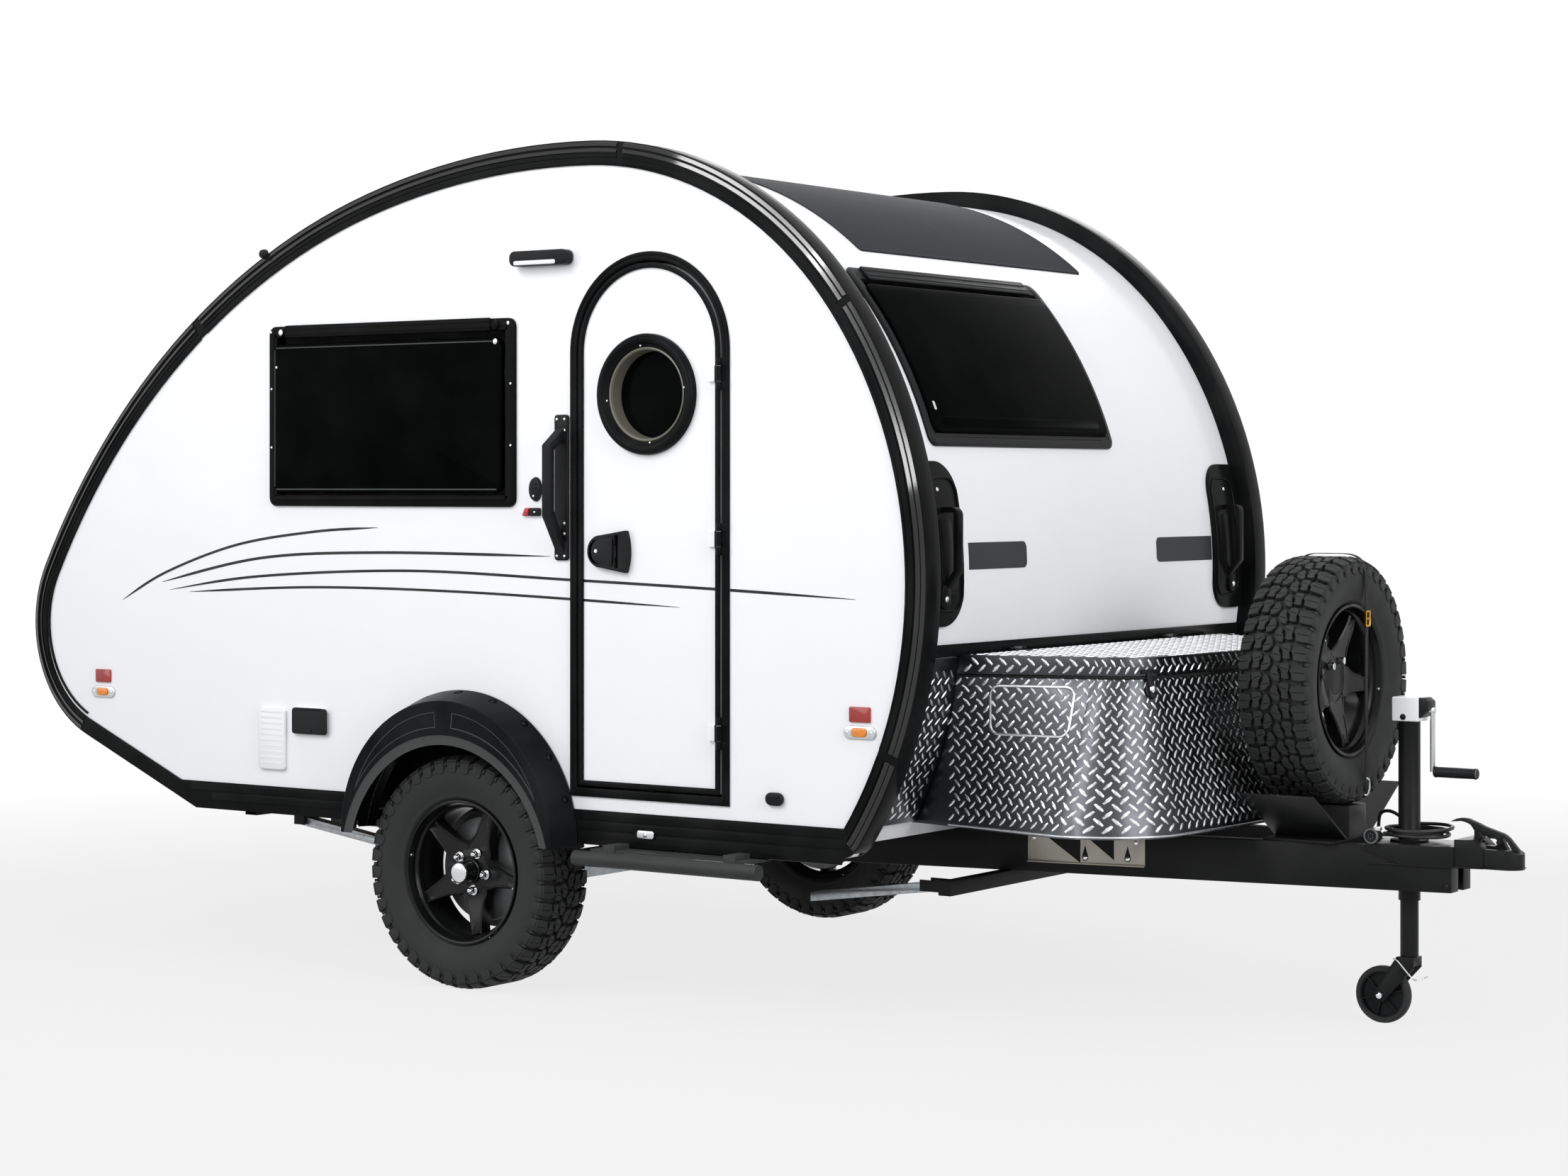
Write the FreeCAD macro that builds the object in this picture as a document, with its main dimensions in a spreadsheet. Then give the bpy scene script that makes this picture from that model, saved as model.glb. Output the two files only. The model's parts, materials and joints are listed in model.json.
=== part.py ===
import FreeCAD, Part
import math
import os
import re

import Sketcher

# Teardrop travel trailer. Millimetres and degrees; +X forward along the tongue, +Y left, +Z up.
# The origin lies on the floor, midway between the tail and the nose of the coupler.
doc = FreeCAD.newDocument("TeardropTrailer")

# ---------------------------------------------------------------- driving dimensions
SIZES = {
    # body side view: a chain of tangent arcs, measured on the outside of the edge moulding
    "body_width": 2007, "body_height": 2472, "tail_x": -2360, "tail_z": 1038, "nose_x": 1098,
    "tail_r": 389, "crown_flat": 1.08272, "sweep_share": 0.84029, "brow_r": 1137, "nose_r": 1306.5,
    "crown_x": -133, "brow_x": -76, "tail_slope": 22.7, "sill_z": 470, "heel_r": 90,
    # shell
    "wall": 30, "skin_inset": 55, "deck_z": 500, "deck": 40, "roof_seam_x": 440, "tail_seam_x": -1300,
    "seat_gap": 0.3,
    # edge moulding
    "cap": 6, "cap_width": 70, "band": 62, "band_shift": -8, "sill_band": 84,
    # wheels and axle
    "axle_x": -517, "track": 1874, "tyre_r": 344, "tyre_width": 205, "rim_r": 212, "rim_width": 166,
    "flange": 7, "hub_r": 127, "pilot_r": 42, "spindle_r": 22, "fit": 0.05, "arm": 140, "beam_side": 76,
    "axle_beam": 1400, "flare_out": 95,
    # chassis
    "rail_y": 452, "rail_wide": 50, "rail_tall": 120, "bend_x": 0, "drawbar_x": 2180, "drawbar_y": 42,
    "rail_tail_x": -1540, "rail_wall": 4, "bar_wall": 4,
    # side step
    "step_r": 22, "step_z": 425, "step_long": 640,
    # door
    "door_x": 166, "door_half": 282, "door_foot": 592, "frame_lap": 24, "door_gap": 8,
    "hinge_x": 420, "hinge_out": 15, "pin_r": 4, "knuckle_r": 7, "knuckle": 44, "port_x": 161,
    "port_r": 172, "port_hole_r": 126,
    "handle_out": 20, "assist_x": -147, "assist_low": 1267, "assist_high": 1687,
    "assist_out": 72, "assist_thick": 26,
    # nose handles
    "grab_tall": 450, "grab_inner_y": 746, "grab_outer_y": 918, "grab_corner": 90,
    "grip_long": 245, "grip_y": 835, "grip_wide": 28, "grip_reach": 52, "grip_thick": 15,
    # windows
    "side_win_x": -810, "side_win_long": 982, "side_win_tall": 552, "win_border": 34,
    "front_win_y": -310, "front_win_wide": 1020, "front_win_tall": 507,
    # storage tub
    "tub_top_z": 970, "tub_foot_z": 545, "lid": 50, "lid_wall": 4, "tub_wall": 4, "lid_back_x": 1046,
    "tub_bow": 28, "lid_pin_r": 3,
    # tongue
    "coupler_x": 2360, "ball_x": 2318, "ball_r": 25.6, "coupler_z": 449, "coupler_top": 526,
    "nose_top": 502, "socket_deep": 44,
    "jack_x": 2030, "jack_r": 30, "leg_r": 25, "jack_foot_z": 345, "jack_top_z": 838, "caster": 76,
    "jockey_r": 79, "jockey_wide": 36, "leg_foot_z": 190,
    "spare_x": 1775, "carrier_x": 1660, "carrier_long": 216, "carrier_plate": 7, "post_thick": 9,
    "carrier_wing_y": 280, "carrier_wing_z": 641,
    # cable
    "coil_r": 101, "coil_eye_r": 58, "coil_tall": 44,
    # stabilisers
    "stay_front_x": 860, "stay_front_y": 600, "stay_front_z": 362, "stay_rear_x": -1390, "stay_rear_y": 750,
    "stay_rear_z": 425, "stay_long": 400,
}
# sizes that follow from the ones above
crown_least = ("((crown_x - tail_x - tail_r)^2 + (body_height - tail_z)^2 - tail_r^2)"
               " / (2 * (body_height - tail_z - tail_r))")
SIZES |= {
    # the tightest crown that the tail and the height allow leaves no room for a sweep: this one is flatter
    "crown_r": "=crown_flat * " + crown_least, "sweep_r": "=tail_r + sweep_share * (crown_r - tail_r)",
    # arch, flare and spare grow with the tyre
    "arch_r": "=tyre_r + 48", "arch_z": "=tyre_r + 56", "flare_r": "=tyre_r + 86",
    "flare_z": "=tyre_r + 107",
    "lip_r": "=tyre_r + 28", "lip_z": "=tyre_r + 8", "spare_z": "=tyre_r + 598",
    # the step stands just outside the wall
    "step_y": "=body_width / 2 + 70.5", "hanger_y": "=body_width / 2 - 163.5",
    "step_rear_x": "=axle_x + flare_r + 47",
    # the door and the windows hang from the roof line
    "door_top": "=body_height - 327", "port_z": "=door_top - 404", "side_win_z": "=body_height - 776",
    "front_win_high": "=body_height - 379", "front_win_low": "=front_win_high - front_win_tall",
    "lamp_z": "=body_height - 354", "handle_z": "=port_z - 446",
    # the nose handles hang below the front window
    "grab_high": "=front_win_low - 36", "grab_low": "=grab_high - grab_tall",
    "grip_high": "=grab_high - 125", "grip_low": "=grip_high - grip_long",
}
sizes = doc.addObject("Spreadsheet::Sheet", "Sizes")
for row, (word, number) in enumerate(SIZES.items(), start=1):
    sizes.set(f"A{row}", word)
    sizes.set(f"B{row}", str(number))
    sizes.setAlias(f"B{row}", word)
doc.recompute()

NODES = []
Vector = FreeCAD.Vector


# ---------------------------------------------------------------- helpers
def formula(text):
    """The same formula with each size read from the sheet."""
    return re.sub(r"[a-z]\w*", lambda found: "Sizes." + found[0] if found[0] in SIZES else found[0],
                  str(text))


def number(text):
    return float(sizes.evalExpression(formula(text)))


def bind(thing, prop, text):
    thing.setExpression(prop, formula(text))


def place(thing, x=0, y=0, z=0):
    for axis, text in zip("xyz", (x, y, z)):
        bind(thing, "Placement.Base." + axis, text)
    return thing


def node(thing, name):
    thing.Label = name
    NODES.append(thing)
    return thing


def body(name):
    return node(doc.addObject("PartDesign::Body", name), name)


def limit(sketch, kind, items, text):
    """Adds a constraint whose value is a formula of the sheet."""
    index = sketch.addConstraint(Sketcher.Constraint(kind, *items, number(text)))
    sketch.setExpression(f"Constraints[{index}]", formula(text))


def arc_between(start, end, radius, turn):
    """The shorter arc from start to end; turn is 1 anticlockwise and -1 clockwise."""
    chord = end - start
    left = Vector(-chord.y, chord.x, 0).normalize()
    rise = math.sqrt(max(radius ** 2 - (chord.Length / 2) ** 2, 0))
    centre = (start + end) * 0.5 + left * (rise * turn)
    first, last = (start, end) if turn > 0 else (end, start)
    angles = [math.atan2(p.y - centre.y, p.x - centre.x) for p in (first, last)]
    if angles[1] < angles[0]:
        angles[1] += 2 * math.pi
    return Part.ArcOfCircle(Part.Circle(centre, Vector(0, 0, 1), radius), *angles)


def draw_loop(sketch, corners):
    """A closed outline. A corner is (across, up) or, where an arc leads on, (across, up, radius, turn);
    a half circle gives the word half for its radius."""
    points = [Vector(number(c[0]), number(c[1]), 0) for c in corners]
    edges = []
    for at, corner in enumerate(corners):
        start, end = points[at], points[(at + 1) % len(points)]
        if len(corner) == 2:
            edges.append((sketch.addGeometry(Part.LineSegment(start, end), False), 1, 2))
            continue
        half = corner[2] == "half"
        radius = (end - start).Length / 2 if half else number(corner[2])
        index = sketch.addGeometry(arc_between(start, end, radius, corner[3]), False)
        edges.append((index, 1, 2) if corner[3] > 0 else (index, 2, 1))
        if half:
            level = abs(end.y - start.y) < abs(end.x - start.x)
            limit(sketch, "DistanceY" if level else "DistanceX", (-1, 1, index, 3),
                  corner[1 if level else 0])
        else:
            limit(sketch, "Radius", (index,), corner[2])
    for at, corner in enumerate(corners):
        last, here = edges[at - 1], edges[at]
        sketch.addConstraint(Sketcher.Constraint("Coincident", last[0], last[2], here[0], here[1]))
        limit(sketch, "DistanceX", (-1, 1, here[0], here[1]), corner[0])
        limit(sketch, "DistanceY", (-1, 1, here[0], here[1]), corner[1])


def draw_circle(sketch, across, up, radius):
    centre = Vector(number(across), number(up), 0)
    index = sketch.addGeometry(Part.Circle(centre, Vector(0, 0, 1), number(radius)), False)
    limit(sketch, "DistanceX", (-1, 1, index, 3), across)
    limit(sketch, "DistanceY", (-1, 1, index, 3), up)
    limit(sketch, "Radius", (index,), radius)


def rounded(left, low, right, high, radius):
    """Corners of a rectangle with rounded corners."""
    l, b, r, t, q = (f"({text})" for text in (left, low, right, high, radius))
    return [(f"{l}+{q}", b), (f"{r}-{q}", b, q, 1), (r, f"{b}+{q}"), (r, f"{t}-{q}", q, 1),
            (f"{r}-{q}", t), (f"{l}+{q}", t, q, 1), (l, f"{t}-{q}"), (l, f"{b}+{q}", q, 1)]


def square(left, low, right, high):
    return [(left, low), (right, low), (right, high), (left, high)]


def draw_profile(sketch, inset=0, foot="sill_z", heel="heel_r", shift=0):
    """The body's side view: tail, sweep, crown, brow and nose arcs, each tangent to the next, all set in
    by the same amount and closed by the heel, the level foot and the slope under the tail."""
    inset = f"({inset})"
    radii = {name: f"{name}-{inset}" for name in ("tail_r", "sweep_r", "crown_r", "brow_r", "nose_r")}
    r = {name: number(text) for name, text in radii.items()}
    move = number(shift)
    crown = Vector(number("crown_x") + move, number("body_height-crown_r") + move, 0)
    brow_x, nose_x = number("brow_x") + move, number("nose_x-nose_r") + move
    brow = Vector(brow_x, crown.y + math.sqrt((r["crown_r"] - r["brow_r"]) ** 2 - (brow_x - crown.x) ** 2),
                  0)
    nose = Vector(nose_x, brow.y - math.sqrt((r["nose_r"] - r["brow_r"]) ** 2 - (nose_x - brow.x) ** 2), 0)
    tail = Vector(number("tail_x+tail_r") + move, number("tail_z") + move, 0)
    # the sweep's centre lies at a known distance from the crown's and from the tail's
    to_crown, to_tail = r["crown_r"] - r["sweep_r"], r["sweep_r"] - r["tail_r"]
    apart = crown - tail
    along = (to_tail ** 2 - to_crown ** 2 + apart.Length ** 2) / (2 * apart.Length)
    aside = math.sqrt(to_tail ** 2 - along ** 2)
    step = Vector(apart).normalize()
    sweep = tail + step * along + Vector(-step.y, step.x, 0) * aside
    floor, slope = number(foot), math.radians(number("tail_slope"))
    bend = number(heel)
    heel_y = floor + bend
    reach = r["nose_r"] - bend
    heel_at = Vector(nose.x + math.sqrt(reach ** 2 - (heel_y - nose.y) ** 2), heel_y, 0)
    under = tail - Vector(math.sin(slope), math.cos(slope), 0) * r["tail_r"]
    corner = Vector(under.x + (under.y - floor) / math.tan(slope), floor, 0)

    def touch(inner, outer, radius):
        return outer + (inner - outer).normalize() * radius

    at_tail = touch(tail, sweep, r["sweep_r"])
    at_crown = touch(sweep, crown, r["crown_r"])
    at_brow = touch(brow, crown, r["crown_r"])
    at_nose = touch(brow, nose, r["nose_r"])
    at_heel = touch(heel_at, nose, r["nose_r"])
    ends = [(under, at_tail, tail, "tail_r"), (at_tail, at_crown, sweep, "sweep_r"),
            (at_crown, at_brow, crown, "crown_r"), (at_brow, at_nose, brow, "brow_r"),
            (at_nose, at_heel, nose, "nose_r"), (at_heel, heel_at - Vector(0, bend, 0), heel_at, None)]
    arcs = []
    for start, end, centre, name in ends:
        angles = [math.atan2(p.y - centre.y, p.x - centre.x) for p in (end, start)]
        if angles[1] < angles[0]:
            angles[1] += 2 * math.pi
        circle = Part.Circle(centre, Vector(0, 0, 1), r[name] if name else bend)
        arcs.append(sketch.addGeometry(Part.ArcOfCircle(circle, *angles), False))
    level = sketch.addGeometry(Part.LineSegment(heel_at - Vector(0, bend, 0), corner), False)
    ramp = sketch.addGeometry(Part.LineSegment(corner, under), False)
    join = Sketcher.Constraint
    for first, second in zip(arcs, arcs[1:]):
        sketch.addConstraint(join("Tangent", first, 1, second, 2))
    sketch.addConstraint(join("Tangent", arcs[-1], 1, level, 1))
    sketch.addConstraint(join("Coincident", level, 2, ramp, 1))
    sketch.addConstraint(join("Tangent", ramp, 2, arcs[0], 2))
    sketch.addConstraint(join("Horizontal", level))
    for arc, (_, _, _, name) in zip(arcs, ends):
        limit(sketch, "Radius", (arc,), radii[name] if name else heel)
    limit(sketch, "DistanceY", (-1, 1, level, 1), foot)
    limit(sketch, "DistanceX", (-1, 1, arcs[2], 3), f"crown_x+{shift}")
    limit(sketch, "DistanceY", (-1, 1, arcs[2], 3), f"body_height-crown_r+{shift}")
    limit(sketch, "DistanceX", (-1, 1, arcs[3], 3), f"brow_x+{shift}")
    limit(sketch, "DistanceX", (-1, 1, arcs[4], 3), f"nose_x-nose_r+{shift}")
    limit(sketch, "DistanceX", (-1, 1, arcs[0], 3), f"tail_x+tail_r+{shift}")
    limit(sketch, "DistanceY", (-1, 1, arcs[0], 3), f"tail_z+{shift}")
    limit(sketch, "Angle", (-1, 1, ramp, 1), "180-tail_slope")


PLANES = {"front": "XZ_Plane", "top": "XY_Plane", "side": "YZ_Plane"}


def sketch_on(owner, name, view, start):
    """A sketch of one body: seen from the front plane (across X, up Z, facing -Y), from the top
    (across X, up Y, facing +Z) or from the side (across Y, up Z, facing +X), moved to start."""
    plane = next(p for p in owner.Origin.OriginFeatures if p.Role == PLANES[view])
    sketch = owner.newObject("Sketcher::SketchObject", name)
    sketch.AttachmentSupport = [(plane, "")]
    sketch.MapMode = "FlatFace"
    bind(sketch, "AttachmentOffset.Base.z", f"-({start})" if view == "front" else start)
    return sketch


def draw(sketch, loops):
    for loop in loops:
        if callable(loop):
            loop(sketch)
        elif isinstance(loop, tuple):
            draw_circle(sketch, *loop)
        else:
            draw_loop(sketch, loop)


def pad(owner, name, view, start, depth, *loops):
    """Adds a slab from start: towards -Y on the front view, +Z on the top view, +X on the side view."""
    sketch = sketch_on(owner, name + "Outline", view, start)
    draw(sketch, loops)
    feature = owner.newObject("PartDesign::Pad", name)
    feature.Profile = sketch
    bind(feature, "Length", depth)
    sketch.Visibility = False
    return feature


CUTS = []


def pocket(owner, name, view, start, depth, *loops):
    """Takes away the slab that pad would add."""
    sketch = sketch_on(owner, name + "Outline", view, start)
    draw(sketch, loops)
    feature = owner.newObject("PartDesign::Pocket", name)
    feature.Profile = sketch
    feature.Reversed = True
    bind(feature, "Length", depth)
    CUTS.append(feature)
    return feature


def revolve(owner, name, view, start, axis, *loops):
    sketch = sketch_on(owner, name + "Outline", view, start)
    draw(sketch, loops)
    feature = owner.newObject("PartDesign::Revolution", name)
    feature.Profile = sketch
    feature.ReferenceAxis = (sketch, [axis])
    feature.Angle = 360
    return feature


def groove(owner, name, view, start, axis, *loops):
    sketch = sketch_on(owner, name + "Outline", view, start)
    draw(sketch, loops)
    feature = owner.newObject("PartDesign::Groove", name)
    feature.Profile = sketch
    feature.ReferenceAxis = (sketch, [axis])
    feature.Angle = 360
    CUTS.append(feature)
    return feature


def around(owner, feature, axis_role, count):
    """Repeats a feature round one of the body's own axes."""
    doc.recompute()
    axis = next(a for a in owner.Origin.OriginFeatures if a.Role == axis_role)
    pattern = owner.newObject("PartDesign::PolarPattern", feature.Name + "Ring")
    pattern.Originals = [feature]
    pattern.Axis = (axis, [""])
    pattern.Angle = 360
    pattern.Occurrences = count
    owner.Tip = pattern
    return pattern


def box(name, size, at):
    solid = doc.addObject("Part::Box", name)
    for prop, text in zip(("Length", "Width", "Height"), size):
        bind(solid, prop, text)
    return place(solid, *at)


def rod(name, radius, length, at, along="z"):
    """A cylinder from at, running along +X, +Y or +Z."""
    solid = doc.addObject("Part::Cylinder", name)
    bind(solid, "Radius", radius)
    bind(solid, "Height", length)
    turn = {"x": (Vector(0, 1, 0), 90), "y": (Vector(1, 0, 0), -90), "z": (Vector(0, 0, 1), 0)}[along]
    solid.Placement = FreeCAD.Placement(Vector(), FreeCAD.Rotation(*turn))
    return place(solid, *at)


def fuse(name, *solids):
    joined = doc.addObject("Part::MultiFuse", name)
    joined.Shapes = list(solids)
    return joined


def cut(name, base, *tools):
    taken = doc.addObject("Part::Cut", name)
    taken.Base = base
    taken.Tool = tools[0] if len(tools) == 1 else fuse(name + "Tools", *tools)
    return taken


def group(name, *solids):
    """Solids that stay apart in one node."""
    held = doc.addObject("Part::Compound", name)
    held.Links = list(solids)
    return held


SIDES = {"right": -1, "left": 1}


def outboard(side, inner, outer):
    """Start and depth of a front-view slab between two distances from the centre plane."""
    start = f"-({inner})" if side == "right" else outer
    return start, f"({outer})-({inner})"


HALF = "body_width/2"
WALL_OUT = f"({HALF}-cap)"
WALL_IN = f"({HALF}-cap-wall)"


# ---------------------------------------------------------------- shell
def door_arch(grow, foot):
    """Outline of the door: square foot, half-round head."""
    half = f"(door_half+({grow}))"
    spring = "door_top-door_half"
    return [(f"door_x-{half}", foot), (f"door_x+{half}", foot), (f"door_x+{half}", spring, "half", 1),
            (f"door_x-{half}", spring)]


def side_window_outline(grow):
    half_long, half_tall = f"(side_win_long/2+({grow}))", f"(side_win_tall/2+({grow}))"
    return rounded(f"side_win_x-{half_long}", f"side_win_z-{half_tall}",
                   f"side_win_x+{half_long}", f"side_win_z+{half_tall}", f"26+({grow})/2")


def make_side_wall(side):
    wall_body = body(f"side_wall_{side}")
    start, depth = outboard(side, WALL_IN, WALL_OUT)
    pad(wall_body, f"WallSheet_{side}", "front", start, depth,
        lambda s: draw_profile(s, "cap+seat_gap", "sill_z+cap+seat_gap", 20))
    openings = [("axle_x", "arch_z", "arch_r"), side_window_outline("-14")]
    if side == "right":
        openings.append(door_arch("-20", "door_foot+20"))
    pocket(wall_body, f"WallOpenings_{side}", "front", start, depth, *openings)


def make_skin(name, *away):
    """A curved panel between the side walls, cut back to its stretch of the outline."""
    skin = body(name)
    across = f"2*({WALL_IN}-seat_gap)"
    start = f"{WALL_IN}-seat_gap"
    pad(skin, name + "Sheet", "front", start, across,
        lambda s: draw_profile(s, "skin_inset", "deck_z+seat_gap", 10))
    pocket(skin, name + "Hollow", "front", start, across,
           lambda s: draw_profile(s, "skin_inset+wall", "deck_z+deck+2*seat_gap", 6))
    for index, block in enumerate(away):
        pocket(skin, f"{name}Trim{index}", "front", start, across, square(*block))
    return skin


FAR = "3000"
DECK_TAIL, DECK_NOSE = "-1540", "765"


def front_window_outline(grow):
    half = f"(front_win_wide/2+({grow}))"
    return rounded(f"front_win_y-{half}", f"front_win_low-({grow})",
                   f"front_win_y+{half}", f"front_win_high+({grow})", "30")


def make_shell():
    for side in SIDES:
        make_side_wall(side)
    front = make_skin("front_panel", (f"-{FAR}", "0", "roof_seam_x", FAR), ("0", "0", DECK_NOSE, "1000"))
    pocket(front, "FrontWindowHole", "side", "roof_seam_x", "800", front_window_outline("-16"))
    make_skin("roof_panel", ("roof_seam_x-seat_gap", "0", FAR, FAR),
              (f"-{FAR}", "0", "tail_seam_x+seat_gap", FAR),
              (f"-{FAR}", "0", FAR, "1200"))
    make_skin("rear_panel", ("tail_seam_x", "0", FAR, FAR), (f"{DECK_TAIL}-seat_gap", "0", FAR, "1000"))
    deck = body("floor_deck")
    edge = f"({WALL_IN}-seat_gap)"
    well = "(track/2-tyre_width/2-30)"
    corners = [(DECK_TAIL, f"-{edge}")]
    for sign, ends in ((-1, ("axle_x-arch_r-30", "axle_x+arch_r+30")),
                       (1, ("axle_x+arch_r+30", "axle_x-arch_r-30"))):
        corners += [(ends[0], f"{sign}*{edge}"), (ends[0], f"{sign}*{well}"),
                    (ends[1], f"{sign}*{well}"), (ends[1], f"{sign}*{edge}")]
        corners.append((DECK_NOSE, f"{sign}*{edge}") if sign < 0 else (DECK_TAIL, f"{sign}*{edge}"))
        if sign < 0:
            corners.append((DECK_NOSE, edge))
    pad(deck, "DeckSheet", "top", "deck_z+seat_gap", "deck", corners)


def make_wheel_boxes():
    """Boxes that keep the road off the cabin where the tyres stand inside it."""
    boxes = []
    for side, sign in SIDES.items():
        inner = "(track/2-tyre_width/2-30+seat_gap)"
        outer = f"({WALL_IN}-seat_gap)"
        start_y = inner if sign > 0 else f"-{outer}"
        long, tall = "2*(arch_r+30-seat_gap)", "(arch_z+arch_r+24-deck_z-seat_gap)"
        shell = box(f"WheelBoxOut_{side}", (long, f"{outer}-{inner}", tall),
                    ("axle_x-arch_r-30+seat_gap", start_y, "deck_z+seat_gap"))
        hollow_y = f"{inner}+8" if sign > 0 else f"-{outer}-1"
        hollow = box(f"WheelBoxIn_{side}", (f"{long}-16", f"{outer}-{inner}-8+1", f"{tall}-8+1"),
                     ("axle_x-arch_r-30+seat_gap+8", hollow_y, "deck_z+seat_gap-1"))
        boxes.append(cut(f"WheelBox_{side}", shell, hollow))
    node(group("WheelBoxes", *boxes), "wheel_boxes")


def make_edge_trim(side):
    """The grooved moulding that caps the wall's edge, its outer face and the step down to the skin."""
    trim = body(f"edge_trim_{side}")
    inner = f"({HALF}-cap_width)"
    pad(trim, f"TrimRing_{side}", "front", *outboard(side, inner, HALF), lambda s: draw_profile(s))
    pocket(trim, f"TrimChannel_{side}", "front", *outboard(side, f"{inner}+cap", WALL_OUT),
           lambda s: draw_profile(s, "cap", "sill_z+cap", 24))
    pocket(trim, f"TrimFace_{side}", "front", *outboard(side, WALL_OUT, HALF),
           lambda s: draw_profile(s, "band", "sill_z+sill_band", 8, "band_shift"))
    pocket(trim, f"TrimStep_{side}", "front", *outboard(side, inner, f"{inner}+cap"),
           lambda s: draw_profile(s, "skin_inset-seat_gap", "deck_z", 10))
    pocket(trim, f"TrimArch_{side}", "front", *outboard(side, inner, HALF), ("axle_x", "arch_z", "arch_r"))


# ---------------------------------------------------------------- windows, door and wall fittings
def make_side_window(side):
    """A top-hung acrylic window in its black frame, with a sleeve through the wall."""
    window = body(f"side_window_{side}")
    pad(window, f"WindowFlange_{side}", "front", *outboard(side, f"{WALL_OUT}+seat_gap", f"{WALL_OUT}+14"),
        side_window_outline("0"))
    pad(window, f"WindowSleeve_{side}", "front", *outboard(side, WALL_IN, f"{WALL_OUT}+1"),
        side_window_outline("-14.3"), side_window_outline("-20"))
    pocket(window, f"WindowStep_{side}", "front", *outboard(side, f"{WALL_OUT}+9", f"{WALL_OUT}+14"),
           side_window_outline("-win_border"))


def make_door():
    frame = body("door_frame")
    lap, face = f"{WALL_OUT}+seat_gap", HALF
    inner = "-frame_lap"
    pad(frame, "DoorFlange", "front", *outboard("right", lap, face), door_arch("0", "door_foot"),
        door_arch(inner, "door_foot+frame_lap"))
    pad(frame, "DoorJamb", "front", *outboard("right", WALL_IN, f"{WALL_OUT}+1"),
        door_arch("-20.3", "door_foot+20.3"), door_arch(inner, "door_foot+frame_lap"))
    leaf = body("entry_door")
    edge = "-frame_lap-door_gap"
    pad(leaf, "DoorLeaf", "front", *outboard("right", WALL_IN, WALL_OUT),
        door_arch(edge, "door_foot+frame_lap+door_gap"),
        ("port_x", "port_z", "port_hole_r"))
    pad(leaf, "DoorEdge", "front", *outboard("right", f"{WALL_OUT}-1", f"{WALL_OUT}+6"),
        door_arch(edge, "door_foot+frame_lap+door_gap"),
        door_arch("-frame_lap-door_gap-14", "door_foot+frame_lap+door_gap+14"))
    low_rows = ("door_foot+180", "(door_foot+door_top)/2-56.5", "door_top-373")
    axis_y = f"-({WALL_OUT}+hinge_out)"
    for index, z in enumerate(low_rows):
        pad(leaf, f"LeafStrap{index}", "top", z, "knuckle",
            square("hinge_x-42", f"{axis_y}+3", "hinge_x", f"-({WALL_OUT}-2)"), )
        pad(leaf, f"LeafKnuckle{index}", "top", z, "knuckle", ("hinge_x", axis_y, "knuckle_r"))
        pocket(leaf, f"LeafBore{index}", "top", z, "knuckle", ("hinge_x", axis_y, "pin_r+fit"))
        for end, foot in (("Low", f"{z}-knuckle/2-seat_gap"), ("High", f"{z}+knuckle+seat_gap")):
            pad(frame, f"FrameStrap{end}{index}", "top", foot, "knuckle/2",
                square("hinge_x", f"{axis_y}+3", "hinge_x+26", f"-({WALL_OUT}+4)"))
            pad(frame, f"FrameKnuckle{end}{index}", "top", foot, "knuckle/2",
                ("hinge_x", axis_y, "knuckle_r"))
        pad(frame, f"HingePin{index}", "top", f"{z}-knuckle/2", "2*knuckle", ("hinge_x", axis_y, "pin_r"))
    port = body("door_window")
    pad(port, "PortRing", "front", *outboard("right", f"{WALL_OUT}+seat_gap", f"{WALL_OUT}+26"),
        ("port_x", "port_z", "port_r"), ("port_x", "port_z", "port_hole_r"))
    pad(port, "PortSleeve", "front", *outboard("right", WALL_IN, f"{WALL_OUT}+2"),
        ("port_x", "port_z", "port_hole_r-seat_gap"), ("port_x", "port_z", "port_hole_r-6"))
    pad(port, "PortGlass", "front", *outboard("right", f"{WALL_OUT}-14", f"{WALL_OUT}-8"),
        ("port_x", "port_z", "port_hole_r-3"))
    make_door_handles()


def make_door_handles():
    """The D-shaped latch on the door, and the stand-off grip on the wall behind it."""
    latch = body("door_handle")
    z, out = "handle_z", "handle_out"
    shell = [("92", f"{z}-60", "170", 1), ("92", f"{z}+60"), ("4", f"{z}+46", "half", 1), ("4", f"{z}-46")]
    pad(latch, "HandleShell", "front", *outboard("right", f"{WALL_OUT}+seat_gap", f"{WALL_OUT}+{out}"),
        shell)
    dish = [("48", f"{z}-44", "110", 1), ("48", f"{z}+44"), ("8", f"{z}+36", "half", 1), ("8", f"{z}-36")]
    pocket(latch, "HandleDish", "front", *outboard("right", f"{WALL_OUT}+{out}-7", f"{WALL_OUT}+{out}"),
           dish)
    pocket(latch, "HandleSlot", "front", *outboard("right", f"{WALL_OUT}+5", f"{WALL_OUT}+{out}"),
           square("56", f"{z}-47", "70", f"{z}+47"))
    assist = body("assist_handle")
    plate = f"({WALL_OUT}+8)"
    pad(assist, "AssistPlate", "front", *outboard("right", f"{WALL_OUT}+seat_gap", plate),
        rounded("assist_x-26", "assist_low", "assist_x+26", "assist_high", "10"))
    root, far, near = f"(1-{plate})", f"-({plate}+assist_out)", f"(assist_thick-{plate}-assist_out)"
    # out from the plate, down, slanting back at the foot, then the same way round inside
    grip = [(root, "assist_high-34"), (far, "assist_high-88"), (far, "assist_low+128"),
            (root, "assist_low+12"),
            (root, "assist_low+50"), (near, "assist_low+142"), (near, "assist_high-102"),
            (root, "assist_high-70")]
    pad(assist, "AssistGrip", "side", "assist_x-14", "28", grip)


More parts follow.
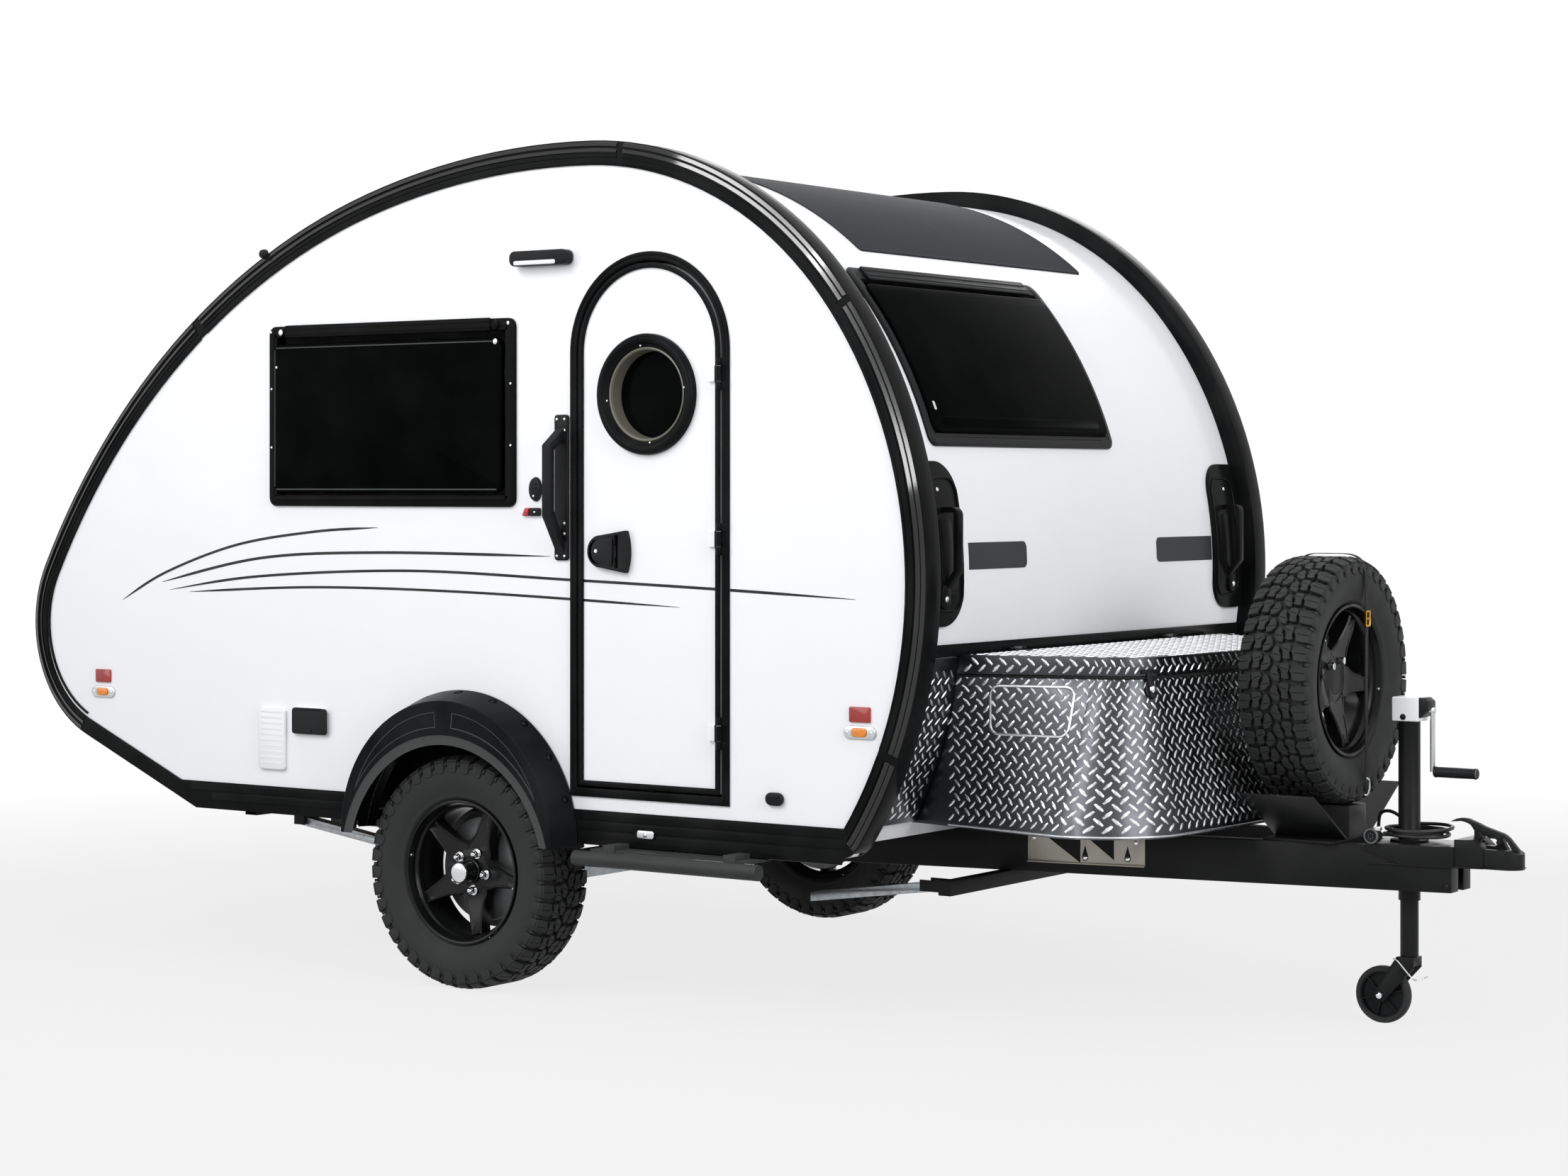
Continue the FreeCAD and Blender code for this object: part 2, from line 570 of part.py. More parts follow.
# ---------------------------------------------------------------- flares, sill and step
def make_flare(side):
    flare = body(f"fender_{side}")
    sign = SIDES[side]

    def arch(radius, foot="445"):
        return [("axle_x+" + radius, foot), ("axle_x+" + radius, "flare_z", "half", 1),
                ("axle_x-" + radius, "flare_z"), ("axle_x-" + radius, foot)]

    lofts = (("FlareShell", "PartDesign::AdditiveLoft", 0, f"{HALF}+seat_gap", f"{HALF}+flare_out"),
             ("FlareHollow", "PartDesign::SubtractiveLoft", 7, f"{HALF}+seat_gap", f"{HALF}+flare_out-7"))
    for name, kind, wall, near, far in lofts:
        sections = []
        for step, (reach, radius) in enumerate(((near, "flare_r"), (far, "(flare_r-28)"))):
            outline = sketch_on(flare, f"{name}Section{step}_{side}", "front", f"{sign}*({reach})")
            draw_loop(outline, arch(f"({radius}-{wall})", "444" if wall else "445"))
            sections.append(outline)
        loft = flare.newObject(kind, f"{name}_{side}")
        loft.Profile = sections[0]
        loft.Sections = [sections[1]]
        loft.Ruled = True
    pocket(flare, f"FlareLip_{side}", "front", *outboard(side, f"{HALF}+flare_out-8",
                                                         f"{HALF}+flare_out+1"),
           ("axle_x", "lip_z", "lip_r"))


def make_step():
    """A tube step with a tread plate, hung on two arms below the floor."""
    tube = rod("StepTube", "step_r", "step_long", ("step_rear_x", "-step_y", "step_z"), "x")
    plate = box("StepTread", ("step_long-80", 96, 6), ("step_rear_x+50", "-step_y+4", "step_z+step_r"))
    arms = []
    for index, x in enumerate(("step_rear_x+100", "step_rear_x+520")):
        arms.append(box(f"StepArm{index}", (40, "step_y-hanger_y+60", 26), (x, "-step_y", "step_z+16")))
        arms.append(box(f"StepHanger{index}", (40, 60, "deck_z-step_z-20"), (x, "-hanger_y", "step_z+20")))
    node(fuse("SideStep", tube, plate, *arms), "side_step")


# ---------------------------------------------------------------- chassis
def make_rails():
    for side, sign in SIDES.items():
        rail = body(f"chassis_rail_{side}")
        low, high = "deck_z-rail_tall", "rail_tall"
        outer, inner = "rail_wide/2", "-rail_wide/2"
        corners = [("rail_tail_x", f"{sign}*(rail_y+{outer})"), ("rail_tail_x", f"{sign}*(rail_y{inner})"),
                   ("bend_x", f"{sign}*(rail_y{inner})"), ("drawbar_x", f"{sign}*(drawbar_y{inner})"),
                   ("drawbar_x", f"{sign}*(drawbar_y+{outer})"), ("bend_x", f"{sign}*(rail_y+{outer})")]
        pad(rail, f"RailSection_{side}", "top", low, high, corners)
        web = "rail_wide/2-rail_wall"
        past = "rail_wide/2+2"
        channel = [("rail_tail_x-1", f"{sign}*(rail_y+{web})"),
                   ("rail_tail_x-1", f"{sign}*(rail_y-({past}))"),
                   ("bend_x", f"{sign}*(rail_y-({past}))"),
                   ("drawbar_x-20", f"{sign}*(drawbar_y-({past}))"),
                   ("drawbar_x-20", f"{sign}*(drawbar_y+{web})"), ("bend_x", f"{sign}*(rail_y+{web})")]
        pocket(rail, f"RailChannel_{side}", "top", f"{low}+rail_wall", f"{high}-2*rail_wall", channel)
    inside = "(rail_y+rail_wide/2-rail_wall-seat_gap)"
    tubes = [square_tube(f"CrossBar{index}", x, f"-{inside}", f"2*{inside}", 60, "deck_z-95", 80)
             for index, x in enumerate(("rail_tail_x+30", "-1000", "-60"))]
    inner, outer = "(rail_y+rail_wide/2+seat_gap)", f"({HALF}-cap_width-3)"
    for side, sign in SIDES.items():
        for index, x in enumerate(("rail_tail_x+60", "-80", "300")):
            low = f"({inner}-max(0;{x}-bend_x)*(rail_y-drawbar_y)/(drawbar_x-bend_x))"
            start = low if sign > 0 else f"-{outer}"
            tubes.append(square_tube(f"Outrigger{index}_{side}", x, start, f"{outer}-{low}", 50,
                                     "deck_z-50.3", 50))
    node(group("CrossMembers", *tubes), "cross_members")


def square_tube(name, x, start_y, length, wide, z, tall):
    """A hollow bar that runs across the trailer."""
    solid = box(name + "Out", (wide, length, tall), (x, start_y, z))
    hollow = box(name + "In", (f"{wide}-2*bar_wall", f"{length}+2", f"{tall}-2*bar_wall"),
                 (f"{x}+bar_wall", f"{start_y}-1", f"{z}+bar_wall"))
    return cut(name, solid, hollow)


def make_axle():
    """Square beam, trailing arms and the spindles that carry the hubs."""
    top = "deck_z-rail_tall-seat_gap"
    long = "axle_beam"
    beam = square_tube("AxleBeam", "axle_x+arm-beam_side/2", f"-{long}/2", long, "beam_side",
                       f"{top}-beam_side",
                       "beam_side")
    parts = [beam]
    for side, sign in SIDES.items():
        near = f"{long}/2" if sign > 0 else f"-{long}/2-24"
        parts.append(box(f"AxleArm_{side}", ("arm+70", 24, 70), ("axle_x-35", near, "tyre_r-35")))
        plate_y = "track/2-94" if sign > 0 else "-(track/2-88)"
        parts.append(rod(f"AxlePlate_{side}", "hub_r-4", 6, ("axle_x", plate_y, "tyre_r"), "y"))
        spindle_y = f"{long}/2" if sign > 0 else "-track/2"
        parts.append(rod(f"AxleSpindle_{side}", "spindle_r", f"track/2-{long}/2",
                         ("axle_x", spindle_y, "tyre_r"), "y"))
    node(fuse("Axle", *parts), "axle")


def make_wheel(name, x, y, z, facing, with_hub=True):
    """Tyre and star rim about their own axis, then turned to face outwards."""
    made = []
    tyre = body(f"{name}_tyre")
    half, tread = "tyre_width/2", "(tyre_width/2-8)"
    wall_r = "(tyre_r+rim_r)/2"
    bead, seat = "(rim_width/2-flange-seat_gap)", "rim_r-12+seat_gap"
    outline = [(f"-{bead}", seat), (f"16-{bead}", seat), (f"-{half}+14", wall_r),
               (f"-{tread}+16", "tyre_r-22"),
               (f"{tread}-16", "tyre_r-22"), (f"{half}-14", wall_r), (f"{bead}-16", seat), (bead, seat),
               (bead, "rim_r+3"), (half, wall_r), (tread, "tyre_r-12"), (f"{tread}-14", "tyre_r"),
               (f"-{tread}+14", "tyre_r"), (f"-{tread}", "tyre_r-12"), (f"-{half}", wall_r),
               (f"-{bead}", "rim_r+3")]
    revolve(tyre, f"Carcass_{name}", "side", 0, "H_Axis", outline)
    rim = body(f"{name}_rim")
    edge = "rim_width/2"
    barrel = [(f"-{edge}", "rim_r"), (f"-{edge}", "rim_r-8"), (f"-{edge}+20", "rim_r-26"),
              (f"{edge}-20", "rim_r-26"), (f"{edge}", "rim_r-8"), (f"{edge}", "rim_r"),
              (f"{edge}-flange", "rim_r"), (f"{edge}-flange", "rim_r-12"), (f"{edge}-24", "rim_r-18"),
              (f"-{edge}+24", "rim_r-18"), (f"-{edge}+flange", "rim_r-12"), (f"-{edge}+flange", "rim_r")]
    revolve(rim, f"Barrel_{name}", "side", 0, "H_Axis", barrel)
    disc = [("(2)", "pilot_r"), ("(30)", "pilot_r"), ("(44)", "90"), ("(52)", "rim_r-20"),
            ("(38)", "rim_r-20"),
            ("(22)", "90")]
    revolve(rim, f"Disc_{name}", "side", 0, "H_Axis", disc)
    window = pocket(rim, f"SpokeGap_{name}", "front", "70", "90",
                    [("-34", "92"), ("34", "92"), ("72", "rim_r-40", "rim_r", 1), ("-72", "rim_r-40")])
    around(rim, window, "Y_Axis", 5)
    made += [tyre, rim]
    for piece in made:
        turn = {"left": (Vector(0, 0, 1), 0), "right": (Vector(0, 0, 1), 180),
                "front": (Vector(0, 0, 1), -90)}
        piece.Placement = FreeCAD.Placement(Vector(), FreeCAD.Rotation(*turn[facing]))
        place(piece, x, y, z)
    if with_hub:
        hub = body(f"{name}_hub")
        drum = [("-80", "spindle_r+fit"), ("-80", "60"), ("-84", "hub_r"), ("-20", "hub_r"), ("-14", "70"),
                ("1.7", "70"), ("1.7", "pilot_r-seat_gap"), ("34", "pilot_r-seat_gap"), ("60", "34"),
                ("66", "24"),
                ("66", "0"),
                ("1", "0"), ("1", "spindle_r+fit")]
        revolve(hub, f"Drum_{name}", "side", 0, "H_Axis", drum)
        hub.Placement = FreeCAD.Placement(Vector(), FreeCAD.Rotation(*turn[facing]))
        place(hub, x, y, z)


# ---------------------------------------------------------------- storage tub and nose fittings
# one row per level of the tub: height, half width at the rear, at the shoulder and in front, where the
# shoulder lies, reach at the corners, corner radius
TUB_LEVELS = [("tub_foot_z", "660", "680", "805", "850", "1628", "250"),
              ("tub_top_z", "745", "745", "640", "1020", "1530", "130")]
TUB_BACK = "780"


def tub_outline(level, grow):
    """Plan of the tub: rear corners, shoulders, rounded front corners and a bowed front."""
    rear, shoulder, front = (f"({text}+({grow}))" for text in level[1:4])
    reach, corner = f"({level[5]}+({grow}))", f"({level[6]}+({grow}))"
    chord = f"({front}-{corner})"
    bow_r = f"(({chord}*{chord}+tub_bow*tub_bow)/(2*tub_bow))"
    return [(TUB_BACK, f"-{rear}"), (level[4], f"-{shoulder}"),
            (f"{reach}-{corner}", f"-{front}", corner, 1),
            (reach, f"-{chord}", bow_r, 1), (reach, chord, corner, 1), (f"{reach}-{corner}", front),
            (level[4], shoulder), (TUB_BACK, rear)]


def tub_solid(name, grow, foot="0", head="0"):
    """The tub's tapered body with the straight rim that the lid fits over."""
    tool = doc.addObject("PartDesign::Body", name)
    sections = []
    for step, (level, lift) in enumerate(zip(TUB_LEVELS, (foot, "0"))):
        sketch = sketch_on(tool, f"{name}Section{step}", "top", f"{level[0]}+{lift}")
        draw_loop(sketch, tub_outline(level, grow))
        sections.append(sketch)
    loft = tool.newObject("PartDesign::AdditiveLoft", name + "Loft")
    loft.Profile = sections[0]
    loft.Sections = [sections[1]]
    loft.Ruled = True
    pad(tool, name + "Rim", "top", "tub_top_z-1", f"lid-lid_wall-seat_gap+1+{head}",
        tub_outline(TUB_LEVELS[1], grow))
    return tool


def nose_tool(name, inset):
    """The volume of the body behind a given inset, as a tool for pieces that lie against the nose."""
    tool = doc.addObject("PartDesign::Body", name)
    pad(tool, name + "Pad", "front", "900", "1800", lambda s: draw_profile(s, inset, "deck_z", 10))
    return tool


def skin_sheet(owner, name, out, low_y, high_y, view, *windows, back="seat_gap", end="nose"):
    """A sheet bent round the skin, this far proud of it, kept only inside its windows at one end."""
    depth = f"({high_y})-({low_y})"
    pad(owner, name + "Sheet", "front", high_y, depth, lambda s: draw_profile(s, f"skin_inset-({out})",
                                                                              "deck_z", 10))
    pocket(owner, name + "Hollow", "front", high_y, depth,
           lambda s: draw_profile(s, f"skin_inset-({back})", "deck_z+20", 10))
    pocket(owner, name + "Edge", view, "-" + FAR, "2*" + FAR, square("-" + FAR, "-" + FAR, FAR, FAR),
           *windows)
    if view == "side":
        ends = ("-" + FAR, "roof_seam_x") if end == "nose" else ("roof_seam_x", FAR)
        pocket(owner, name + "Rest", "front", high_y, depth, square(ends[0], "0", ends[1], FAR))


def make_tub():
    """Tapered tub with a bowed front, open at the top, its back following the nose."""
    shell = cut("TubOutside", tub_solid("TubOuter", "0"), nose_tool("NoseClear", "skin_inset-1"))
    hollow = cut("TubInside", tub_solid("TubInner", "-tub_wall", "tub_wall", "2"),
                 nose_tool("NoseBack", "skin_inset-1-tub_wall"))
    node(cut("TubBody", shell, hollow), "tub_body")
    lid = body("tub_lid")

    def lid_outline(grow, back_x):
        corners = tub_outline(TUB_LEVELS[1], grow)
        return [(back_x, corners[1][1])] + corners[2:-2] + [(back_x, corners[-2][1])]

    low = "tub_top_z+seat_gap"
    pad(lid, "LidPan", "top", low, "lid", lid_outline("2*lid_wall", "lid_back_x"))
    pocket(lid, "LidHollow", "top", low, "lid-lid_wall", lid_outline("lid_wall", "lid_back_x-1"))
    panels = doc.addObject("PartDesign::Body", "CornerSheets")
    skin_sheet(panels, "Corner", "12", f"-({HALF}-cap_width-1)", f"{HALF}-cap_width-1", "side",
               square("-900+0", "tub_foot_z+4", "900", "1014"))
    clear = tub_solid("TubClear", "3", head="5")
    node(cut("CornerPanels", panels, clear), "corner_panels")
    strip = body("nose_strip")
    skin_sheet(strip, "Strip", "9", f"-({HALF}-cap_width-1)", f"{HALF}-cap_width-1", "side",
               square("-930", "tub_top_z+46", "930", "tub_top_z+80"))
    pin_z = "(tub_top_z+lid+6)"
    for side, sign in SIDES.items():
        y = f"{sign}*450"
        for end, at in (("Low", f"{y}-20-seat_gap"), ("High", f"{y}+44+seat_gap")):
            pad(strip, f"LidEar{end}_{side}", "front", at, "24",
                square("lid_back_x-14", f"{pin_z}-5", "lid_back_x", f"{pin_z}+5"))
            pad(strip, f"LidEarEnd{end}_{side}", "front", at, "24", ("lid_back_x", pin_z, "5"))
        pad(strip, f"LidPin_{side}", "front", f"{y}+44", "88", ("lid_back_x", pin_z, "lid_pin_r"))
        pad(lid, f"LidStrap_{side}", "front", f"{y}+20", "40",
            square("lid_back_x", "tub_top_z+lid-1", "lid_back_x+40", "tub_top_z+lid+3"))
        pad(lid, f"LidKnuckle_{side}", "front", f"{y}+20", "40", ("lid_back_x", pin_z, "lid_pin_r+3"))
        pocket(lid, f"LidBore_{side}", "front", f"{y}+20", "40", ("lid_back_x", pin_z, "lid_pin_r+fit"))


def make_grab_handle(side):
    """A moulded plate beside the nose, square outside and rounded towards the middle, with a D grip."""
    sign = SIDES[side]
    handle = body(f"grab_handle_{side}")
    low, high, turn = "grab_low", "grab_high", "grab_corner"
    inner, outer = f"{sign}*grab_inner_y", f"{sign}*grab_outer_y"
    corners = [(outer, low), (f"{sign}*(grab_inner_y+{turn})", low, turn, -sign), (inner, f"{low}+{turn}"),
               (inner, f"{high}-{turn}", turn, -sign), (f"{sign}*(grab_inner_y+{turn})", high),
               (outer, high)]
    near, far = (outer, inner) if sign < 0 else (inner, outer)
    skin_sheet(handle, f"GrabPlate_{side}", "12", near, far, "side", corners)
    # the grip stands forward of the plate: level above, slanting back below, open behind
    root, front = "nose_x-skin_inset+4", "nose_x-skin_inset+4+grip_reach"
    grip = [(root, "grip_low"), (front, "grip_low+70"), (front, "grip_high-24", "24", 1),
            (f"{front}-24", "grip_high"),
            (root, "grip_high"), (root, "grip_high-grip_thick"),
            (f"{front}-grip_thick", "grip_high-grip_thick"),
            (f"{front}-grip_thick", "grip_low+74"), (root, "grip_low+grip_thick+6")]
    pad(handle, f"GrabGrip_{side}", "front", f"{sign}*grip_y+grip_wide/2", "grip_wide", grip)


def make_nose_fittings():
    half = "front_win_wide/2"
    sheet = doc.addObject("PartDesign::Body", "FrontWindowSheet")
    skin_sheet(sheet, "FrontWindow", "14", f"front_win_y-{half}", f"front_win_y+{half}", "side",
               front_window_outline("0"))
    recess = doc.addObject("PartDesign::Body", "FrontWindowRecess")
    skin_sheet(recess, "FrontRecess", "16", f"front_win_y-{half}", f"front_win_y+{half}", "side",
               front_window_outline("-win_border"), back="9")
    node(cut("FrontWindow", sheet, recess), "front_window")
    solar = body("solar_panel")
    skin_sheet(solar, "Solar", "4", "-630", "630", "top", rounded("-350", "-630", "637", "630", "12"))
    pocket(solar, "SolarBelow", "front", "700", "1400", square("-500", "0", "700", "1400"))
    for side in SIDES:
        make_grab_handle(side)
    lamp = body("awning_lamp")
    pad(lamp, "LampBody", "front", *outboard("right", f"{WALL_OUT}+seat_gap", f"{WALL_OUT}+42"),
        rounded("-316", "lamp_z", "-106", "lamp_z+44", "18"))


def make_tail_fittings():
    """Lamps on the tail, and the vent and inlets low on the door side."""
    lamps = body("tail_lamps")
    pair = [rounded(low, "930", high, "1150", "50") for low, high in (("-820", "-700"), ("700", "820"))]
    skin_sheet(lamps, "TailLamp", "22", "-880", "880", "side", *pair, end="tail")
    ports = body("service_ports")
    for name, window in (("Vent", rounded("-1347", "607", "-1235", "797", "12")),
                         ("Inlet", rounded("-1203", "726", "-1067", "803", "14")),
                         ("Oval", rounded("582", "606", "626", "638", "15"))):
        pad(ports, f"Port{name}", "front", *outboard("right", f"{WALL_OUT}+seat_gap", f"{WALL_OUT}+12"),
            window)


# ---------------------------------------------------------------- tongue
def beam_edge(x, grow):
    """Half width over the two drawbars at a station, grown by this much."""
    return f"(drawbar_y+(rail_y-drawbar_y)*(drawbar_x-({x}))/(drawbar_x-bend_x)+rail_wide/2+({grow}))"


def make_coupler():
    """A pressed channel that straddles the drawbars and narrows to the ball housing."""
    coupler = body("coupler")
    rear, neck = "coupler_x-410", "coupler_x-172"
    wide = [(beam_edge(rear, "6"), beam_edge(neck, "6")), (beam_edge(rear, "0.6"), beam_edge(neck, "0.6"))]
    top = "deck_z+6"

    def plan(widths, start, end):
        return [(start, f"-{widths[0]}"), (end, f"-{widths[1]}"), (end, widths[1]), (start, widths[0])]

    pad(coupler, "CouplerChannel", "top", "coupler_z", f"{top}-coupler_z", plan(wide[0], rear, neck))
    pocket(coupler, "CouplerMouth", "top", "coupler_z", "deck_z+seat_gap-coupler_z",
           plan(wide[1], rear, neck))
    pocket(coupler, "CouplerSlope", "front", "200", "400",
           [(f"{rear}-1", "coupler_z-1"), (f"{rear}+110", "coupler_z-1"), (f"{rear}-1", "deck_z-12")])
    sleeve = [(neck, "-66"), (f"{neck}+76", "-50"), (f"{neck}+76", "50"), (neck, "66")]
    pad(coupler, "CouplerSleeve", "top", "coupler_z", "coupler_top-coupler_z", sleeve)
    nose = [(f"{neck}+60", "-46"), ("coupler_x-42", "-42", "half", 1), ("coupler_x-42", "42"),
            (f"{neck}+60", "46")]
    pad(coupler, "CouplerNose", "top", "coupler_z", "nose_top-coupler_z", nose)
    pocket(coupler, "SleeveSlope", "front", "80", "160",
           [(f"{neck}+46", "coupler_top+1"), (f"{neck}+77", "nose_top"), (f"{neck}+77", "coupler_top+1")])
    pocket(coupler, "NoseSlope", "front", "80", "160",
           [("ball_x+6", "nose_top"), ("coupler_x+1", "nose_top-12"), ("coupler_x+1", "nose_top+1"),
            ("ball_x+6", "nose_top+1")])
    pocket(coupler, "SleeveHollow", "top", "coupler_z", "60",
           [(f"{neck}+8", "-56"), (f"{neck}+68", "-42"), (f"{neck}+68", "42"), (f"{neck}+8", "56")])
    pocket(coupler, "LatchSlot", "top", "nose_top", "40", square(f"{neck}+28", "-11", f"{neck}+77", "11"))
    pocket(coupler, "JackHole", "top", "deck_z", "20", ("jack_x", "0", "jack_r+0.5"))
    pocket(coupler, "BallSocket", "top", "coupler_z", "socket_deep", ("ball_x", "0", "ball_r"))
    latch = body("coupler_latch")
    low = "nose_top+seat_gap"
    outline = [("2222", low), ("ball_x+6", low), ("coupler_x-12", "nose_top-7"),
               ("coupler_x-13", "nose_top"),
               ("coupler_x-34", "nose_top+24", "60", 1), ("coupler_x-58", "nose_top+42"),
               ("2250", "nose_top+58"),
               ("2232", "nose_top+66"), ("2205", "nose_top+76", "60", 1), ("2154", "nose_top+66"),
               ("2182", "nose_top+69", "60", -1), ("2212", "nose_top+60"), ("2222", "nose_top+46")]
    slot = [("2240", "nose_top+14"), ("2276", "nose_top+14"), ("2262", "nose_top+30", "20", 1),
            ("2244", "nose_top+32")]
    pad(latch, "LatchPlate", "front", "9", "18", outline, slot)


def make_jack():
    tube = rod("JackTube", "jack_r", "jack_top_z-jack_foot_z", ("jack_x", 0, "jack_foot_z"))
    flange = rod("JackFlange", 52, 6, ("jack_x", 0, "deck_z+6+seat_gap"))
    head = box("JackHead", (70, 66, 64), ("jack_x-35", -33, "jack_top_z"))
    bore = rod("JackBore", "leg_r+fit", "jack_top_z-jack_foot_z-2", ("jack_x", 0, "jack_foot_z-1"))
    node(cut("JackBarrel", fuse("JackSolid", tube, flange, head), bore), "jack_tube")
    shaft = rod("CrankShaft", 8, 40, ("jack_x+35+seat_gap", 0, 868), "x")
    arm = rod("CrankArm", 7, 172, ("jack_x+68", 0, 700))
    grip = rod("CrankGrip", 14, 122, ("jack_x+75", 0, 700), "x")
    node(fuse("JackCrank", shaft, arm, grip), "jack_crank")
    leg = rod("LegTube", "leg_r", "530-leg_foot_z", ("jack_x", 0, "leg_foot_z"))
    hollow = rod("LegHollow", "leg_r-4", 300, ("jack_x", 0, "leg_foot_z+52"))
    socket = rod("LegSocket", "12+fit", 22, ("jack_x", 0, "leg_foot_z-1"))
    node(cut("LegBody", leg, hollow, socket), "jack_leg")
    fork = body("jack_fork")
    half = "(jockey_wide/2+5)"
    cheek = [("jack_x-caster-16", "jockey_r-6"), ("jack_x-caster+10", "jockey_r-16"),
             ("jack_x+24", "leg_foot_z-30"),
             ("jack_x+24", "leg_foot_z-seat_gap"), ("jack_x-26", "leg_foot_z-seat_gap"),
             ("jack_x-caster-16", "jockey_r+10")]
    pad(fork, "ForkCheeks", "front", f"{half}+5", f"2*({half}+5)", cheek)
    pocket(fork, "ForkGap", "front", half, f"2*{half}",
           [("jack_x-caster-40", "0"), ("jack_x+60", "0"), ("jack_x+60", "leg_foot_z-24"),
            ("jack_x-caster-40", "leg_foot_z-24")])
    pad(fork, "ForkStem", "top", "leg_foot_z-10", "26", ("jack_x", "0", "12"))
    pad(fork, "ForkPin", "front", f"{half}+8", f"2*({half}+8)", ("jack_x-caster", "jockey_r", "8"))
    wheel = body("jockey_wheel")
    revolve(wheel, "JockeySection", "side", 0, "H_Axis",
            [("-jockey_wide/2", "8+fit"), ("-jockey_wide/2", "26"), ("-6", "28"), ("-6", "56"),
             ("-jockey_wide/2+2", "58"),
             ("-jockey_wide/2", "jockey_r-8"), ("-jockey_wide/2+8", "jockey_r"),
             ("jockey_wide/2-8", "jockey_r"),
             ("jockey_wide/2", "jockey_r-8"), ("jockey_wide/2-2", "58"), ("6", "56"), ("6", "28"),
             ("jockey_wide/2", "26"), ("jockey_wide/2", "8+fit")])
    place(wheel, "jack_x-caster", 0, "jockey_r")


def make_carrier():
    """A folded plate across the drawbars: a saddle under the tyre, a wing each side, and a post behind
    with the stub that the spare rim is bolted to."""
    carrier = body("spare_carrier")
    foot, top = "deck_z+seat_gap", "deck_z+carrier_plate"
    saddle, rise = "55", "spare_z-tyre_r-seat_gap"
    wing_y, wing_z = "carrier_wing_y", "carrier_wing_z"
    half = [("150", foot), ("150", top), ("75", top), (f"{wing_y}+3", f"{wing_z}-5"), (wing_y, wing_z),
            ("65", f"{top}+2"), (saddle, f"{top}+2"), (saddle, rise)]
    other = [(f"-({across})", up) for across, up in reversed(half)]
    pad(carrier, "CarrierPlates", "side", "carrier_x", "carrier_long", half + other)
    pad(carrier, "CarrierPost", "side", "carrier_x", "post_thick", square("-40", foot, "40", "spare_z+70"))
    pad(carrier, "CarrierStub", "side", "carrier_x+post_thick-1", "spare_x+1.7+1-carrier_x-post_thick",
        ("0", "spare_z", "50"))
    pad(carrier, "CarrierPilot", "side", "spare_x", "34", ("0", "spare_z", "pilot_r-seat_gap"))


# one row per pair of stabilisers: end, pivot across, along and up, and which way the stowed arm points
STAYS = [("front", "stay_front_x", "stay_front_y", "stay_front_z", -1),
         ("rear", "stay_rear_x", "stay_rear_y", "stay_rear_z", 1)]


def make_stays():
    """Swing-down stabiliser arms, stowed under the frame, between the ears that carry them."""
    brackets = [box("StayBar", (40, "2*stay_front_y+64", 40), ("stay_front_x+40", "-stay_front_y-32",
                                                               "deck_z-rail_tall-40-seat_gap"))]
    for end, x, y, z, way in STAYS:
        for side, sign in SIDES.items():
            stay = body(f"stabiliser_{end}_{side}")
            centre = f"{sign}*{y}+20"
            arm = [(f"{x}-{way}*18", f"{z}-14"), (f"{x}+{way}*stay_long", f"{z}-72"),
                   (f"{x}+{way}*stay_long", f"{z}-46"), (f"{x}-{way}*18", f"{z}+14")]
            pad(stay, f"StayArm_{end}_{side}", "front", centre, "40", arm[::way])
            pocket(stay, f"StayBore_{end}_{side}", "front", centre, "40", (x, z, "8+fit"))
            brackets.append(rod(f"StayPin_{end}_{side}", 8, 64, (x, f"{sign}*{y}-32", z), "y"))
            top = "deck_z" if end == "rear" else "deck_z-rail_tall-seat_gap"
            brackets += [box(f"StayEar{i}_{end}_{side}", (62 if end == "front" else 44, 6, f"{top}-{z}+14"),
                             (f"{x}-22", f"{sign}*{y}+{offset}", f"{z}-14")) for i,
                             offset in enumerate((-32, 26))]
    node(fuse("StayBrackets", *brackets), "stabiliser_brackets")


# the cable's free ends, point by point: from its gland to the coil, and from the coil to its plug
LEAD = [(1895, 96, 513), (1895, 96, 548), (1903, 94, 572), (1935, 86, 578), (1968, 74, 566),
        (2000, 62, 546)]
TAIL = [(1985, -30, 540), (1972, -50, 534), (1972, -62, 527.3), (1972, -78, 527.3)]
CABLE_R = 5


def tube_path(points):
    """Straight runs joined by tangent arcs, each as large as its two runs allow."""
    points = [Vector(*p) for p in points]
    edges, radii, at = [], [], points[0]
    for before, corner, after in zip(points, points[1:], points[2:]):
        back, ahead = before - corner, after - corner
        turn = math.pi - back.getAngle(ahead)
        reach = 0.45 * min(back.Length, ahead.Length)
        radii.append(reach / math.tan(turn / 2))
        first = corner + back.normalize() * reach
        last = corner + ahead.normalize() * reach
        half = (back + ahead).normalize()
        middle = corner + half * (radii[-1] / math.cos(turn / 2) - radii[-1])
        edges += [Part.LineSegment(at, first).toShape(), Part.Arc(first, middle, last).toShape()]
        at = last
    edges.append(Part.LineSegment(at, points[-1]).toShape())
    return Part.Wire(edges), radii


def tube_of(name, points):
    """A plain tube along the path."""
    path, radii = tube_path(points)
    start = path.Edges[0]
    ring = Part.Wire(Part.makeCircle(CABLE_R, start.Vertexes[0].Point,
                                     start.tangentAt(start.FirstParameter)))
    solid = path.makePipeShell([ring], True, False)
    length = path.Length
    print(name, "radii", [round(r, 1) for r in radii], "length", round(length, 1),
          "volume ratio", round(solid.Volume / (math.pi * CABLE_R ** 2 * length), 4))
    tube = doc.addObject("Part::Feature", name)
    tube.Shape = solid
    return node(tube, name)


